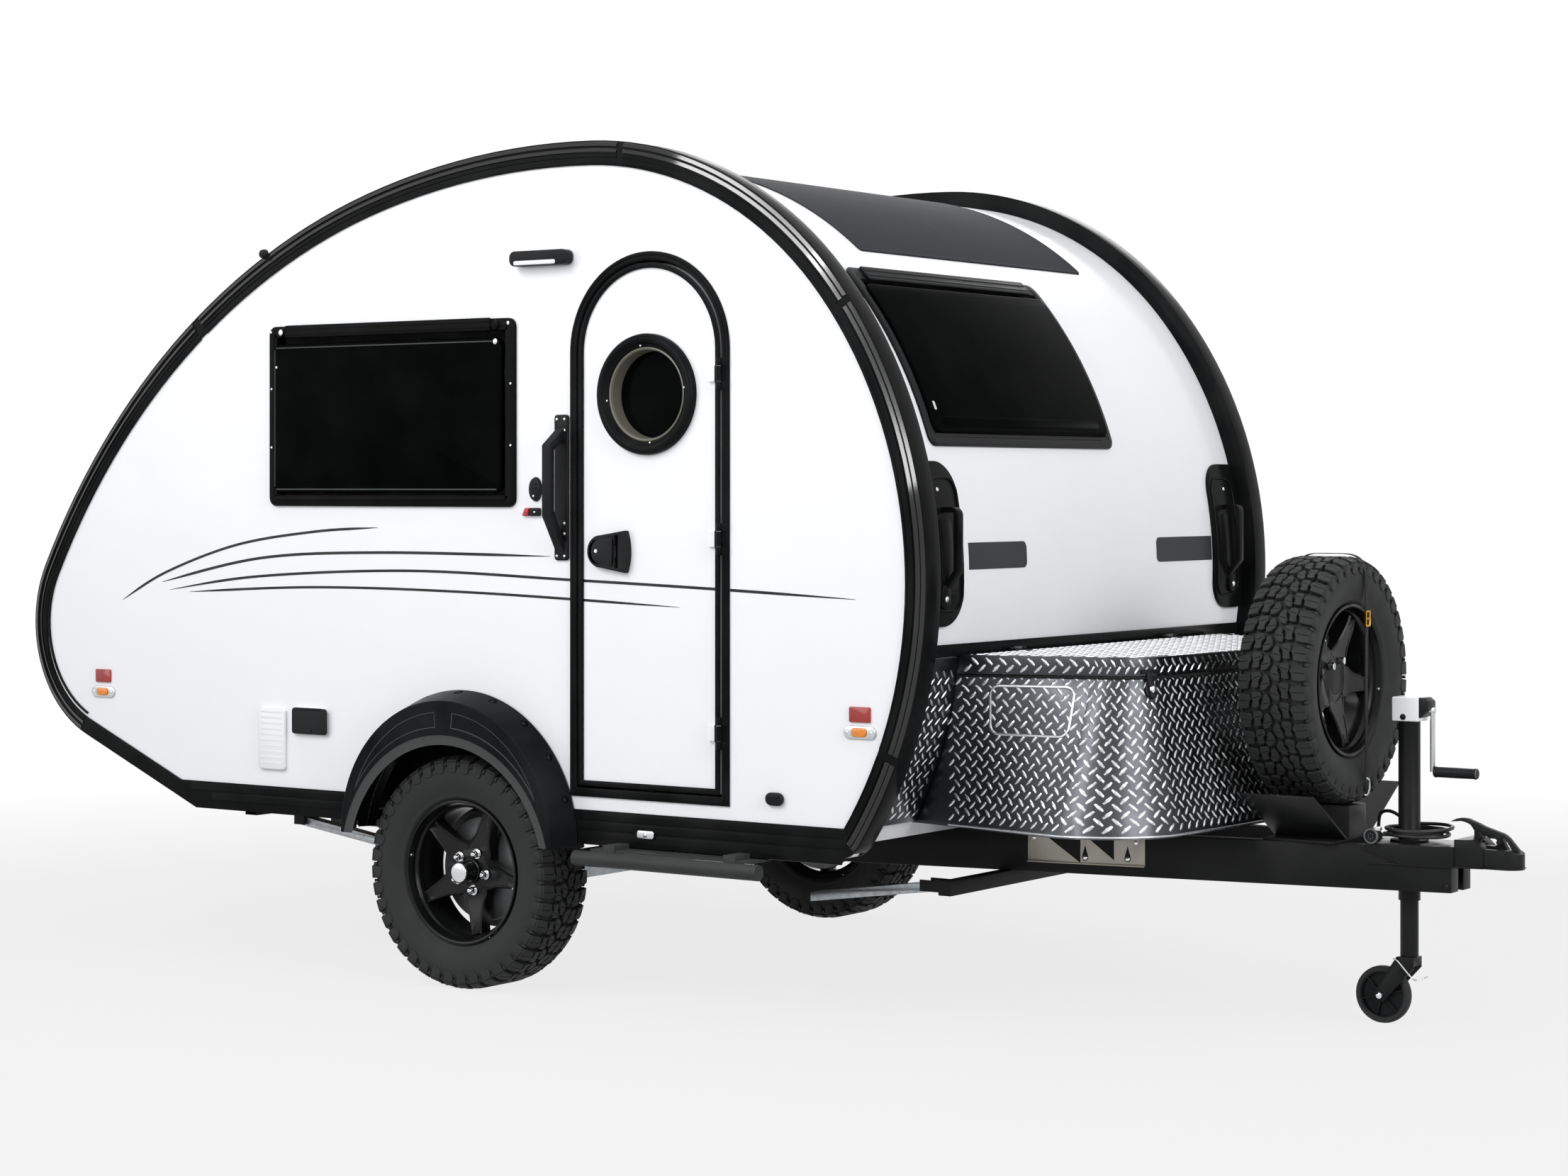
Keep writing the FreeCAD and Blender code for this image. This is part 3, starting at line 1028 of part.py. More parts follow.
def make_cable():
    centre = ("jack_x+26", 0, "deck_z+6+6+3*seat_gap")
    ring = rod("CoilOuter", "coil_r", "coil_tall", centre)
    eye = rod("CoilEye", "coil_eye_r", "coil_tall+2", (centre[0], 0, centre[2] + "-1"))
    node(cut("CableCoil", ring, eye), "cable_coil")
    tube_of("cable_lead", LEAD)
    tube_of("cable_tail", TAIL)
    plug = body("cable_plug")
    revolve(plug, "PlugSection", "front", 0, "V_Axis", [("0", "0"), ("12", "0"), ("13", "12"),
                                                        ("21", "18"), ("21", "46"),
                                                         ("19", "48"), ("19", "46"), ("0", "46")])
    plug.Placement = FreeCAD.Placement(Vector(), FreeCAD.Rotation(Vector(1, 0, 0), 90))
    place(plug, TAIL[-1][0], TAIL[-1][1], TAIL[-1][2])
    gland = rod("CableGland", 11, f"{LEAD[0][2]}-deck_z-2*seat_gap",
                (LEAD[0][0], LEAD[0][1], "deck_z+seat_gap"))
    node(gland, "cable_gland")


make_shell()
make_wheel_boxes()
for side in SIDES:
    make_edge_trim(side)
    make_side_window(side)
    make_flare(side)
make_nose_fittings()
make_tail_fittings()
make_door()
make_step()
make_rails()
make_axle()
make_wheel("right", "axle_x", "-track/2", "tyre_r", "right")
make_wheel("left", "axle_x", "track/2", "tyre_r", "left")
make_wheel("spare", "spare_x", "0", "spare_z", "front", with_hub=False)
make_tub()
make_coupler()
make_jack()
make_carrier()
make_stays()
make_cable()

doc.recompute()
faults = [thing.Name for thing in doc.Objects if {"Invalid", "Error"} & set(thing.State)]
faults += [thing.Label for thing in NODES if thing.Shape.isNull() or not thing.Shape.isValid()]
faults += [cutter.Name for cutter in CUTS
           if cutter.BaseFeature and abs(cutter.BaseFeature.Shape.Volume - cutter.Shape.Volume) < 1]
if faults:
    raise RuntimeError("these features failed or cut nothing: " + ", ".join(faults))
os.makedirs("parts", exist_ok=True)
for thing in NODES:
    thing.Shape.exportStep(os.path.join("parts", thing.Label + ".step"))
print(len(NODES), "nodes written")
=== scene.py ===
# %% [markdown]
# # A teardrop trailer, dressed for its portrait
# The steel, the shell and every hinge come ready made from the imported model. This lesson gives them
# paint, rubber and tread plate, and adds the fine pieces that a construction drawing leaves out.
# Most cells print what they made, so the work can be followed one step at a time.

# %% Load the frame
import json
from math import atan2, cos, dist, hypot, pi, radians, sin

import bmesh
import bpy
from mathutils import Matrix, Vector
from mathutils.bvhtree import BVHTree

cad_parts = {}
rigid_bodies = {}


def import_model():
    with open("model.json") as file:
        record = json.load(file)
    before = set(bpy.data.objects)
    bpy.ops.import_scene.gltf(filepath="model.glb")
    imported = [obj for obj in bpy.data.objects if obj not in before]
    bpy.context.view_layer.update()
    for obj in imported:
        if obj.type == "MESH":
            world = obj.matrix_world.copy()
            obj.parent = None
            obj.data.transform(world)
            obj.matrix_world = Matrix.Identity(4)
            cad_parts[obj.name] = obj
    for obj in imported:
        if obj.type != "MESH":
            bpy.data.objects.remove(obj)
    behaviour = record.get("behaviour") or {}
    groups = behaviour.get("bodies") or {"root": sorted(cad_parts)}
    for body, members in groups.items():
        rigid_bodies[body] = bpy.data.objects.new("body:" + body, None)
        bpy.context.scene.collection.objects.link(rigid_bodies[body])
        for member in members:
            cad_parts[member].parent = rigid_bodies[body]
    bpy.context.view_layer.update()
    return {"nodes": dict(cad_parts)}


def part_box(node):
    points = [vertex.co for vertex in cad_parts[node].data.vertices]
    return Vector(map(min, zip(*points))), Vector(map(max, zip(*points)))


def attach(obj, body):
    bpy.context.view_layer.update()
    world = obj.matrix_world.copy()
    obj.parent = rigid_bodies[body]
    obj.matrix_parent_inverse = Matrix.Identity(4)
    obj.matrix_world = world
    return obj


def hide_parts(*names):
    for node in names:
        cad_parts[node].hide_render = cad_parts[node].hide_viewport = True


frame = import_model()
nodes = frame["nodes"]

# %% [markdown]
# ## The viewpoint
# The trailer is seen from its front right quarter with a moderately long lens, level with its windows.
# A level camera keeps every upright line upright, and a small shift lowers the picture instead of a tilt.

# %% Camera
CAMERA_AT, HEADING, LENS, SHIFT = (5.61, -8.13, 1.484), 34.92, 72.83, -0.0656
bpy.ops.object.camera_add(location=CAMERA_AT, rotation=(pi / 2, 0, radians(HEADING)))
camera = bpy.context.object
camera.data.sensor_width, camera.data.lens, camera.data.shift_y = 36, LENS, SHIFT
bpy.context.scene.camera = camera
bpy.context.scene.view_settings.view_transform = "Standard"
print("camera", camera.data.lens, "mm")

# %% [markdown]
# ## Two small habits
# An operator works on whatever is selected, so each step first clears the selection. A finished piece has
# its place in its mesh and an untouched object transform, so that its patterns stay put.

# %% Helpers for every piece
def alone(*things):
    """Selects these objects and nothing else."""
    if bpy.context.object and bpy.context.object.mode != "OBJECT":
        bpy.ops.object.mode_set(mode="OBJECT")
    bpy.ops.object.select_all(action="DESELECT")
    for thing in things:
        thing.select_set(True)
    bpy.context.view_layer.objects.active = things[0] if things else None


def edit_all():
    """Opens the active mesh for editing with everything selected."""
    bpy.ops.object.mode_set(mode="EDIT")
    bpy.ops.mesh.select_all(action="SELECT")


def face_outwards():
    """Turns every face of the open mesh outwards and closes it."""
    bpy.ops.mesh.select_all(action="SELECT")
    bpy.ops.mesh.normals_make_consistent(inside=False)
    bpy.ops.object.mode_set(mode="OBJECT")


def modify(piece, kind, **settings):
    """Adds a modifier with its settings and applies it."""
    alone(piece)
    modifier = piece.modifiers.new(kind.title(), kind)
    for name, value in settings.items():
        setattr(modifier, name, value)
    bpy.ops.object.modifier_apply(modifier=modifier.name)
    return piece


def join(*parts):
    """Makes one piece of several."""
    alone(*parts)
    bpy.ops.object.join()
    return parts[0]


def duplicate(source, name):
    """A copy with its own mesh, which is then the one thing selected."""
    copy = bpy.data.objects.new(name, source.data.copy())
    bpy.context.collection.objects.link(copy)
    alone(copy)
    return copy


def complete(piece, name, material, body="body", stands_for=(), angle=35, level=False):
    """Names a piece, or a list of parts, gives it its finish and body and leaves its place in its mesh."""
    if isinstance(piece, list):
        piece = join(*piece)
    alone(piece)
    piece.data.update()
    bpy.ops.object.transform_apply()
    piece.name = piece.data.name = name
    piece.data.materials.clear()
    piece.data.materials.append(material)
    bpy.ops.object.shade_smooth_by_angle(angle=radians(angle))
    if level:
        modify(piece, "WEIGHTED_NORMAL", keep_sharp=True, weight=80)
    if stands_for:
        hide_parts(*stands_for)
    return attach(piece, body)


PLANES = {"front": lambda a, b, c: (a, c, b), "top": lambda a, b, c: (a, b, c),
    "side": lambda a, b, c: (c, a, b)}


def slab(outline, start, depth, view="front", bevel=0.0, steps=2):
    """A plate with this outline, thickened by a depth, which may be negative, along the third axis: Y on
    the front view, X on the side view and Z on the top view."""
    bpy.ops.object.select_all(action="DESELECT")
    bpy.ops.mesh.primitive_circle_add(vertices=len(outline), fill_type="NGON")
    plate = bpy.context.object
    for vertex, (a, b) in zip(plate.data.vertices, outline):
        vertex.co = PLANES[view](a, b, start)
    edit_all()
    bpy.ops.mesh.extrude_region_move(TRANSFORM_OT_translate={"value": PLANES[view](0, 0, depth)})
    face_outwards()
    if bevel:
        modify(plate, "BEVEL", width=bevel, segments=steps, limit_method="ANGLE", angle_limit=radians(40))
    return plate


def turned(profile, centre=(0, 0, 0), axis="Y", steps=64):
    """Spins a closed profile of (radius, distance along the axis) round that axis."""
    bpy.ops.object.select_all(action="DESELECT")
    bpy.ops.mesh.primitive_circle_add(vertices=len(profile), fill_type="NOTHING")
    piece = bpy.context.object
    turns = {"Y": lambda r, h: (r, h, 0), "X": lambda r, h: (h, r, 0), "Z": lambda r, h: (r, 0, h)}
    for vertex, (r, h) in zip(piece.data.vertices, profile):
        vertex.co = Vector(centre) + Vector(turns[axis](r, h))
    bpy.ops.object.mode_set(mode="EDIT")
    bpy.ops.mesh.select_mode(type="VERT")
    bpy.ops.mesh.select_all(action="SELECT")
    bpy.ops.mesh.spin(steps=steps, angle=2 * pi, center=centre,
        axis={"Y": (0, 1, 0), "X": (1, 0, 0), "Z": (0, 0, 1)}[axis])
    bpy.ops.mesh.select_all(action="SELECT")
    bpy.ops.mesh.remove_doubles(threshold=1e-5)
    face_outwards()
    return piece


def tube(points, radius, closed=False):
    """A round bar that bends smoothly along the points."""
    curve = bpy.data.curves.new("bar", "CURVE")
    curve.dimensions = "3D"
    spline = curve.splines.new("NURBS")
    spline.points.add(len(points) - 1)
    for point, place in zip(spline.points, points):
        point.co = (*place, 1)
    spline.order_u, spline.resolution_u, spline.use_endpoint_u = 3, 6, not closed
    spline.use_cyclic_u = closed
    curve.bevel_depth, curve.bevel_resolution, curve.use_fill_caps = radius, 3, True
    piece = bpy.data.objects.new("bar", curve)
    bpy.context.collection.objects.link(piece)
    alone(piece)
    bpy.ops.object.convert(target="MESH")
    return bpy.context.object


def arc(x, y, radius, start, end, steps=8):
    """Points on an arc, angles in degrees."""
    return [(x + radius * cos(radians(start + (end - start) * i / steps)),
        y + radius * sin(radians(start + (end - start) * i / steps))) for i in range(steps + 1)]


def soft_corners(left, low, right, high, radius, steps=6):
    """Outline of a rectangle with rounded corners."""
    corners = [(right - radius, high - radius, 0), (left + radius, high - radius, 90),
        (left + radius, low + radius, 180), (right - radius, low + radius, 270)]
    return [point for x, y, turn in corners for point in arc(x, y, radius, turn, turn + 90, steps)]


def rectangle(left, low, right, high):
    """Outline of a rectangle."""
    return [(left, low), (right, low), (right, high), (left, high)]


def mm(*points):
    """Points given in millimetres."""
    return [tuple(number / 1000 for number in point) for point in points]


def softened(name, width, steps, angle):
    """A copy of a CAD node with its sharp edges rounded over; the node itself stays as it is."""
    copy = duplicate(nodes[name], name + "_soft")
    edit_all()
    bpy.ops.mesh.remove_doubles(threshold=2e-5)
    bpy.ops.mesh.select_all(action="SELECT")
    bpy.ops.mesh.dissolve_limited(angle_limit=radians(1.5))
    bpy.ops.object.mode_set(mode="OBJECT")
    modify(copy, "BEVEL", width=width, segments=steps, limit_method="ANGLE", angle_limit=radians(angle),
        use_clamp_overlap=True)
    return copy


print("helpers ready")

# %% [markdown]
# ## The cable first
# A trailer's light cable is a black rubber-jacketed lead, 10 mm thick. It comes up through a gland on the
# drawbar, lies in a few loose turns round the jack and ends in a round plug. It has one smooth line: the
# points below are only pulled towards, never touched, which is how a stiff cable bends.

# %% Cable
CABLE = 0.01
coil_low, coil_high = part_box("cable_coil")
coil_x, coil_y = (coil_low.x + coil_high.x) / 2, (coil_low.y + coil_high.y) / 2
route = [(1.895, 0.096, 0.513), (1.895, 0.096, 0.548), (1.903, 0.094, 0.572), (1.935, 0.086, 0.578),
    (1.968, 0.074, 0.566), (2.0, 0.062, 0.55)]
turns, points_per_turn = 3.28, 16
first, total = atan2(0.062, 2.0 - coil_x), int(turns * points_per_turn)
for step in range(1, total + 1):
    share = step / total
    angle = first - 2 * pi * turns * share
    loose = 0.0045 * sin(2.3 * angle) + 0.003 * sin(0.7 * angle + 1)
    radius = 0.086 + 0.005 * sin(pi * share * 3) + loose * (1 - share * 0.4)
    radius -= 0.016 * max(0, 1 - step / 6) ** 2 + 0.024 * max(0, (step - total + 6) / 6) ** 2
    level = 0.5485 - 0.0265 * share + 0.002 * sin(1.6 * angle)
    route.append((coil_x + radius * cos(angle), coil_y + radius * sin(angle), level))
# From the coil the cable drops to the plug.
route += [(coil_x + 0.036, coil_y - 0.05, 0.526), (1.988, -0.06, 0.527), (1.975, -0.068, 0.5273),
    (1.972, -0.078, 0.5273)]
print("coil centre", coil_x, coil_y)
curve = bpy.data.curves.new("light_cable", "CURVE")
curve.dimensions = "3D"
spline = curve.splines.new("NURBS")
spline.points.add(len(route) - 1)
for point, place in zip(spline.points, route):
    point.co = (*place, 1)
spline.order_u = 3
spline.use_endpoint_u = True
spline.resolution_u = 5
curve.bevel_depth = CABLE / 2
curve.bevel_resolution = 3
curve.use_fill_caps = True
cable = bpy.data.objects.new("light_cable", curve)
bpy.context.collection.objects.link(cable)
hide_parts("cable_lead", "cable_coil", "cable_tail")
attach(cable, "body")
line = [Vector(p) for p in route]
print("cable runs", round(sum((b - a).length for a, b in zip(line, line[1:])), 3), "m")

# %% [markdown]
# ## The studio
# A pale floor and soft light from four large panels and two long strips. The brightest panel lights the
# nose, weaker ones light the door's side and the far side, and one hangs above. The floor fades out
# towards its rim, so that the white room behind takes over and no horizon line shows.

# %% Nodes, colours and the floor
def linear(code):
    """sRGB hex to the linear values that a shader works in."""
    parts = [int(code[i:i + 2], 16) / 255 for i in (1, 3, 5)]
    return (*[p / 12.92 if p <= 0.04045 else ((p + 0.055) / 1.055) ** 2.4 for p in parts], 1)


def add(tree, kind, inputs=None, **settings):
    """Adds a node with its settings; an input is a value or another node's socket."""
    made = tree.nodes.new("ShaderNode" + kind)
    for name, value in settings.items():
        setattr(made, name, value)
    for name, value in (inputs or {}).items():
        socket = made.inputs[name]
        if isinstance(value, bpy.types.NodeSocket):
            tree.links.new(value, socket)
        else:
            socket.default_value = linear(value) if isinstance(value, str) else value
    return made


def blank(name):
    """A material with an empty tree and its output."""
    material = bpy.data.materials.new(name)
    material.use_nodes = True
    material.node_tree.nodes.clear()
    return material, material.node_tree, material.node_tree.nodes.new("ShaderNodeOutputMaterial")


def seen_directly(tree):
    """1 for a ray from the camera, a mirror or a pane, and 0 for light that has bounced."""
    rays = add(tree, "LightPath").outputs
    most = add(tree, "Math", {0: rays["Is Camera Ray"], 1: rays["Is Glossy Ray"]}, operation="MAXIMUM")
    return add(tree, "Math", {0: most.outputs[0], 1: rays["Is Transmission Ray"]},
        operation="MAXIMUM").outputs[0]


floor_paint, tree, output = blank("white_sweep")
place = add(tree, "TexCoord").outputs["Object"]
far = add(tree, "VectorMath", {0: place}, operation="LENGTH").outputs["Value"]
fade = add(tree, "MapRange", {"Value": far, "From Min": 3.4, "From Max": 6.5}).outputs["Result"]
FLOOR_GLOW, ROOM_GLOW = 0.8, 0.34
lift = add(tree, "Math", {0: seen_directly(tree), 1: FLOOR_GLOW}, operation="MULTIPLY")
matt = add(tree, "BsdfDiffuse", {"Color": "#a2a2a3"})
glow = add(tree, "Emission", {"Color": "#ffffff", "Strength": 1.0})
paper = add(tree, "MixShader", {0: lift.outputs[0], 1: matt.outputs[0], 2: glow.outputs[0]})
clear = add(tree, "BsdfTransparent")
mixed = add(tree, "MixShader", {0: fade, 1: paper.outputs[0], 2: clear.outputs[0]})
tree.links.new(mixed.outputs[0], output.inputs["Surface"])
bpy.ops.object.select_all(action="DESELECT")
bpy.ops.mesh.primitive_circle_add(vertices=96, radius=7.0, fill_type="NGON", location=(0, 0, -0.0005))
floor = bpy.context.object
floor.name = "studio_floor"
floor.data.materials.append(floor_paint)
bpy.ops.object.transform_apply()

world = bpy.data.worlds.new("white_room")
bpy.context.scene.world = world
world.use_nodes = True
tree = world.node_tree
tree.nodes.clear()
dim = add(tree, "Background", {"Color": "#ffffff", "Strength": ROOM_GLOW})
bright = add(tree, "Background", {"Color": "#ffffff", "Strength": 1.0})
mixed = add(tree, "MixShader", {0: seen_directly(tree), 1: dim.outputs[0], 2: bright.outputs[0]})
tree.links.new(mixed.outputs[0], add(tree, "OutputWorld").inputs["Surface"])


def panel_light(name, place, aim, size, watts):
    """A square soft light that faces a point."""
    bpy.ops.object.light_add(type="AREA", location=place)
    light = bpy.context.object
    light.name, light.data.shape, light.data.size, light.data.energy = name, "SQUARE", size, watts
    light.rotation_euler = (Vector(aim) - Vector(place)).to_track_quat("-Z", "Y").to_euler()
    return light


STRIP_WATTS = 36  # for each metre
panel_light("door_side_panel", (-5.5, -7.0, 4.0), (-1.8, 0, 1.0), 6.0, 170)
panel_light("nose_panel", (8.5, -2.5, 4.0), (1.0, 0, 1.0), 5.0, 425)
panel_light("top_panel", (0.0, 0.0, 7.0), (0, 0, 0), 6.5, 190)
panel_light("far_panel", (-3.0, 8.5, 4.0), (0, 0, 1.2), 5.0, 150)
# Two long strips stand where the ribs of the edge moulding mirror them towards the viewer.
for name, one, other in (("upper_strip", (-2.3, -5.1, 6.05), (0.1, -6.3, 4.75)),
        ("lower_strip", (-0.2, -6.2, 5.0), (1.65, -6.97, 2.2))):
    one, other = Vector(one), Vector(other)
    middle, aim = (one + other) / 2, Vector((0.7, -1.04, 2.0))
    strip = panel_light(name, middle, aim, (other - one).length, STRIP_WATTS * (other - one).length)
    strip.data.shape, strip.data.size_y = "RECTANGLE", 0.7
    back = (middle - aim).normalized()
    along = (other - one - back * back.dot(other - one)).normalized()
    strip.rotation_euler = Matrix((along, back.cross(along), back)).transposed().to_euler()
print("studio ready")

# %% [markdown]
# ## Finishes
# Nearly every surface here is one of a few kinds: sprayed or powder-coated steel, moulded plastic, rubber
# and bare metal. They share a recipe. A base colour drifts very slightly, the roughness drifts with it and
# a fine grain lifts the surface. The grain's size is given in millimetres, so that each surface has its
# own true scale. What differs is the numbers, and those start from what the stuff really is.

# %% One recipe for plain finishes
def finish(name, colour, rough, metal=0.0, grain=1.0, lift=0.0, drift=0.05, drift_mm=180, coat=0.0,
        shine=0.5, second=None, spread=0.0):
    """A surface with slow drift in colour and gloss and a fine grain of this size in millimetres."""
    material, tree, output = blank(name)
    place = add(tree, "TexCoord").outputs["Object"]
    slow = add(tree, "TexNoise", {"Vector": place, "Scale": 1000 / drift_mm, "Detail": 3.0}).outputs["Fac"]
    fine = add(tree, "TexNoise", {"Vector": place, "Scale": 1000 / grain, "Detail": 2.0}).outputs["Fac"]
    shade = add(tree, "MapRange", {"Value": slow, "From Min": 0.3, "From Max": 0.7, "To Min": 0.0,
        "To Max": drift})
    tone = add(tree, "Mix", {0: shade.outputs[0], 6: colour, 7: second or "#808080"}, data_type="RGBA")
    gloss = add(tree, "MapRange", {"Value": slow, "From Min": 0.3, "From Max": 0.7,
        "To Min": rough - spread, "To Max": rough + spread})
    bump = add(tree, "Bump", {"Height": fine, "Strength": 1.0, "Distance": lift / 1000})
    shader = add(tree, "BsdfPrincipled", {"Base Color": tone.outputs[2], "Roughness": gloss.outputs[0]})
    if lift:
        tree.links.new(bump.outputs[0], shader.inputs["Normal"])
    shader.inputs["Metallic"].default_value = metal
    shader.inputs["Coat Weight"].default_value = coat
    shader.inputs["Coat Roughness"].default_value = 0.08
    shader.inputs["Specular IOR Level"].default_value = shine
    tree.links.new(shader.outputs[0], output.inputs["Surface"])
    return material


# Smooth glass-fibre laminate with a gloss gel coat: white, evenly glossy, hardly any texture.
gel_coat = finish("gel_coat_laminate", "#eeeff2", 0.24, grain=9, lift=0.015, drift=0.02, spread=0.03)
# Extruded vinyl moulding: satin black with the faint drag lines of the die.
vinyl = finish("extruded_vinyl", "#0d0e0f", 0.22, grain=2.5, lift=0.03, drift=0.03, spread=0.04,
    shine=0.035)
# A dark grey laid on thin edges and bands of black parts as a painted highlight.
painted_highlight_grey = finish("painted_highlight_grey", "#454747", 0.45, grain=6, lift=0.1, drift=0.05, spread=0.04, shine=0.06)
# The same vinyl where the die has left it glossy, as on the moulding's two ribs.
gloss_rib = finish("glossy_vinyl_rib", "#0c0d0e", 0.07, grain=6, lift=0.004, drift=0.02, spread=0.01,
    shine=0.5)
# Moulded ABS with a light leather grain.
abs_black = finish("moulded_abs", "#121315", 0.4, grain=1.6, lift=0.05, drift=0.04, spread=0.06, shine=0.1)
# Thermoformed polyethylene, as flares are: a little duller.
flare_plastic = finish("thermoformed_polyethylene", "#101113", 0.3, grain=2.2, lift=0.05, drift=0.04,
    spread=0.05, shine=0.03)
# Powder-coated steel: black, with the orange peel that the oven leaves.
powder_coat = finish("powder_coated_steel", "#101112", 0.36, grain=3.0, lift=0.05, drift=0.04, spread=0.06,
    shine=0.12)
# Hot-dip galvanised steel: grey, spangled.
galvanised = finish("hot_dip_galvanised", "#a4a8ab", 0.42, metal=1.0, grain=6, lift=0.02, drift=0.5,
    drift_mm=14, second="#7d8285", spread=0.08)
# Bright zinc plate and chrome for fasteners.
zinc = finish("bright_zinc_plate", "#c9cbcc", 0.24, metal=1.0, grain=1.2, lift=0.01, drift=0.2,
    drift_mm=20, second="#9ea2a4", spread=0.05)
chrome = finish("polished_chrome", "#d9dbdd", 0.08, metal=1.0, grain=4, lift=0.002, drift=0.1, spread=0.02)
# Cast alloy painted gloss black, and the same alloy where the lathe has cut it bright.
wheel_paint = finish("gloss_wheel_enamel", "#090a0b", 0.24, grain=3, lift=0.015, drift=0.02, spread=0.04,
    shine=0.2)
machined = finish("machined_alloy", "#b8babd", 0.28, metal=1.0, grain=0.8, lift=0.02, drift=0.15,
    drift_mm=30, second="#8c8f92", spread=0.06)
# Vulcanised rubber with dust on it in slow patches.
tyre_rubber = finish("vulcanised_rubber", "#232425", 0.7, grain=1.4, lift=0.08, drift=0.1, drift_mm=60,
    second="#45443f", spread=0.08, shine=0.25)
jacket = finish("rubber_cable_jacket", "#131314", 0.42, grain=1.2, lift=0.03, drift=0.05, spread=0.05,
    shine=0.3)
gasket = finish("foam_rubber_seal", "#0d0d0e", 0.7, grain=1.2, lift=0.05, drift=0.04, spread=0.05,
    shine=0.2)
webbing = finish("woven_strap", "#131312", 0.75, grain=1.1, lift=0.12, drift=0.1, drift_mm=8, spread=0.05,
    shine=0.2)
brass = finish("passivated_brass", "#b58a2c", 0.3, metal=1.0, grain=1.5, lift=0.02, drift=0.3, drift_mm=12,
    second="#7d5c19", spread=0.08)
white_moulding = finish("white_abs", "#e6e8ea", 0.34, grain=1.5, lift=0.03, drift=0.03, spread=0.04)
ply = finish("sealed_plywood", "#8d8272", 0.6, grain=2.0, lift=0.05, drift=0.4, drift_mm=25,
    second="#6f6350", spread=0.06)
cast_grey = finish("cast_iron_drum", "#5b5d5f", 0.5, metal=0.7, grain=2.0, lift=0.1, drift=0.3,
    drift_mm=30, second="#46413c", spread=0.08)
red_lens = finish("red_reflector_plastic", "#8e1208", 0.16, grain=3.5, lift=0.05, drift=0.25, drift_mm=6,
    second="#c22414", coat=0.5, spread=0.03)
amber_lens = finish("amber_lens_plastic", "#d9780c", 0.14, grain=3.0, lift=0.05, drift=0.25, drift_mm=6,
    second="#f0a63a", coat=0.5, spread=0.03)
clear_lens = finish("clear_lens_plastic", "#dfe3e6", 0.12, grain=3.0, lift=0.05, drift=0.15, drift_mm=6,
    second="#b9c0c6", coat=0.5, spread=0.03)
stripe_film = finish("cast_vinyl_film", "#101113", 0.3, grain=2.0, lift=0.005, drift=0.03, spread=0.03,
    shine=0.25)
grey_film = finish("graphite_film", "#2b2d2e", 0.34, grain=2.0, lift=0.01, drift=0.06, spread=0.04,
    shine=0.1)
red_tab = finish("red_vinyl_dip", "#b11f24", 0.3, grain=2.0, lift=0.02, drift=0.06, spread=0.04)
# Acrylic panes tinted nearly black: a smooth dark sheet with hardly any gloss.
tinted = finish("tinted_acrylic", "#020303", 0.1, grain=40, lift=0.05, drift=0.01, spread=0.01, shine=0.006)
print(len(bpy.data.materials), "materials so far")

# %% [markdown]
# ## Solar cells
# The roof panel is a thin flexible module: dark cells under a matt film, with a gap 2.4 mm wide between
# every two. The pattern runs there and back, so its numbers are half of a cell and half of a gap.

# %% Solar module
solar_cells, tree, output = blank("solar_cells_under_film")
place = add(tree, "SeparateXYZ", {0: add(tree, "TexCoord").outputs["Object"]})
gaps = []
HALF_CELL, HALF_GAP = 0.158, 0.0012
for axis in (0, 1):
    cell = add(tree, "Math", {0: place.outputs[axis], 1: HALF_CELL}, operation="PINGPONG").outputs[0]
    gaps.append(add(tree, "Math", {0: cell, 1: HALF_GAP}, operation="LESS_THAN").outputs[0])
gap = add(tree, "Math", {0: gaps[0], 1: gaps[1]}, operation="MAXIMUM").outputs[0]
tone = add(tree, "Mix", {0: gap, 6: "#333437", 7: "#3f4145"}, data_type="RGBA").outputs[2]
shader = add(tree, "BsdfPrincipled", {"Base Color": tone, "Roughness": 0.5, "Specular IOR Level": 0.008})
tree.links.new(shader.outputs[0], output.inputs["Surface"])
print("solar cells", round(HALF_CELL * 2000), "mm apart")

# %% [markdown]
# ## Finishes on the ready-made pieces
# Each CAD piece keeps its shape and only gets its finish here. Pieces that need more are replaced later.

# %% Paint the frame
FINISHES = {
    gel_coat: "front_panel rear_panel roof_panel side_wall_left side_wall_right entry_door",
    vinyl: "edge_trim_left edge_trim_right nose_strip door_frame",
    abs_black: "assist_handle door_handle grab_handle_left grab_handle_right wheel_boxes cable_gland "
               "cable_plug jockey_wheel awning_lamp",
    flare_plastic: "fender_left fender_right",
    powder_coat: "chassis_rail_left chassis_rail_right coupler coupler_latch cross_members jack_fork "
                 "jack_leg jack_tube side_step spare_carrier stabiliser_brackets",
    galvanised: "tub_body tub_lid corner_panels axle stabiliser_front_left stabiliser_front_right "
                "stabiliser_rear_left stabiliser_rear_right",
    zinc: "jack_crank",
    cast_grey: "left_hub right_hub",
    tyre_rubber: "left_tyre right_tyre spare_tyre",
    wheel_paint: "left_rim right_rim spare_rim",
    tinted: "front_window side_window_left side_window_right door_window",
    solar_cells: "solar_panel",
    ply: "floor_deck",
    white_moulding: "service_ports",
    red_lens: "tail_lamps",
    jacket: "cable_coil cable_lead cable_tail",
}
for material, names in FINISHES.items():
    for name in names.split():
        nodes[name].data.materials.clear()
        nodes[name].data.materials.append(material)
cable.data.materials.append(jacket)
bare = set(nodes) - {name for names in FINISHES.values() for name in names.split()}
print("painted", len(nodes) - len(bare), "left", bare)

# %% [markdown]
# ## Tyres
# An all-terrain tyre is a smooth carcass with blocks moulded on it. One pitch of blocks is cut flat, as
# on the drawing board, then repeated forty times in a strip and wrapped round the wheel. The two halves
# of the tread are shifted by half a pitch, which is what makes the bold zigzag down the middle.

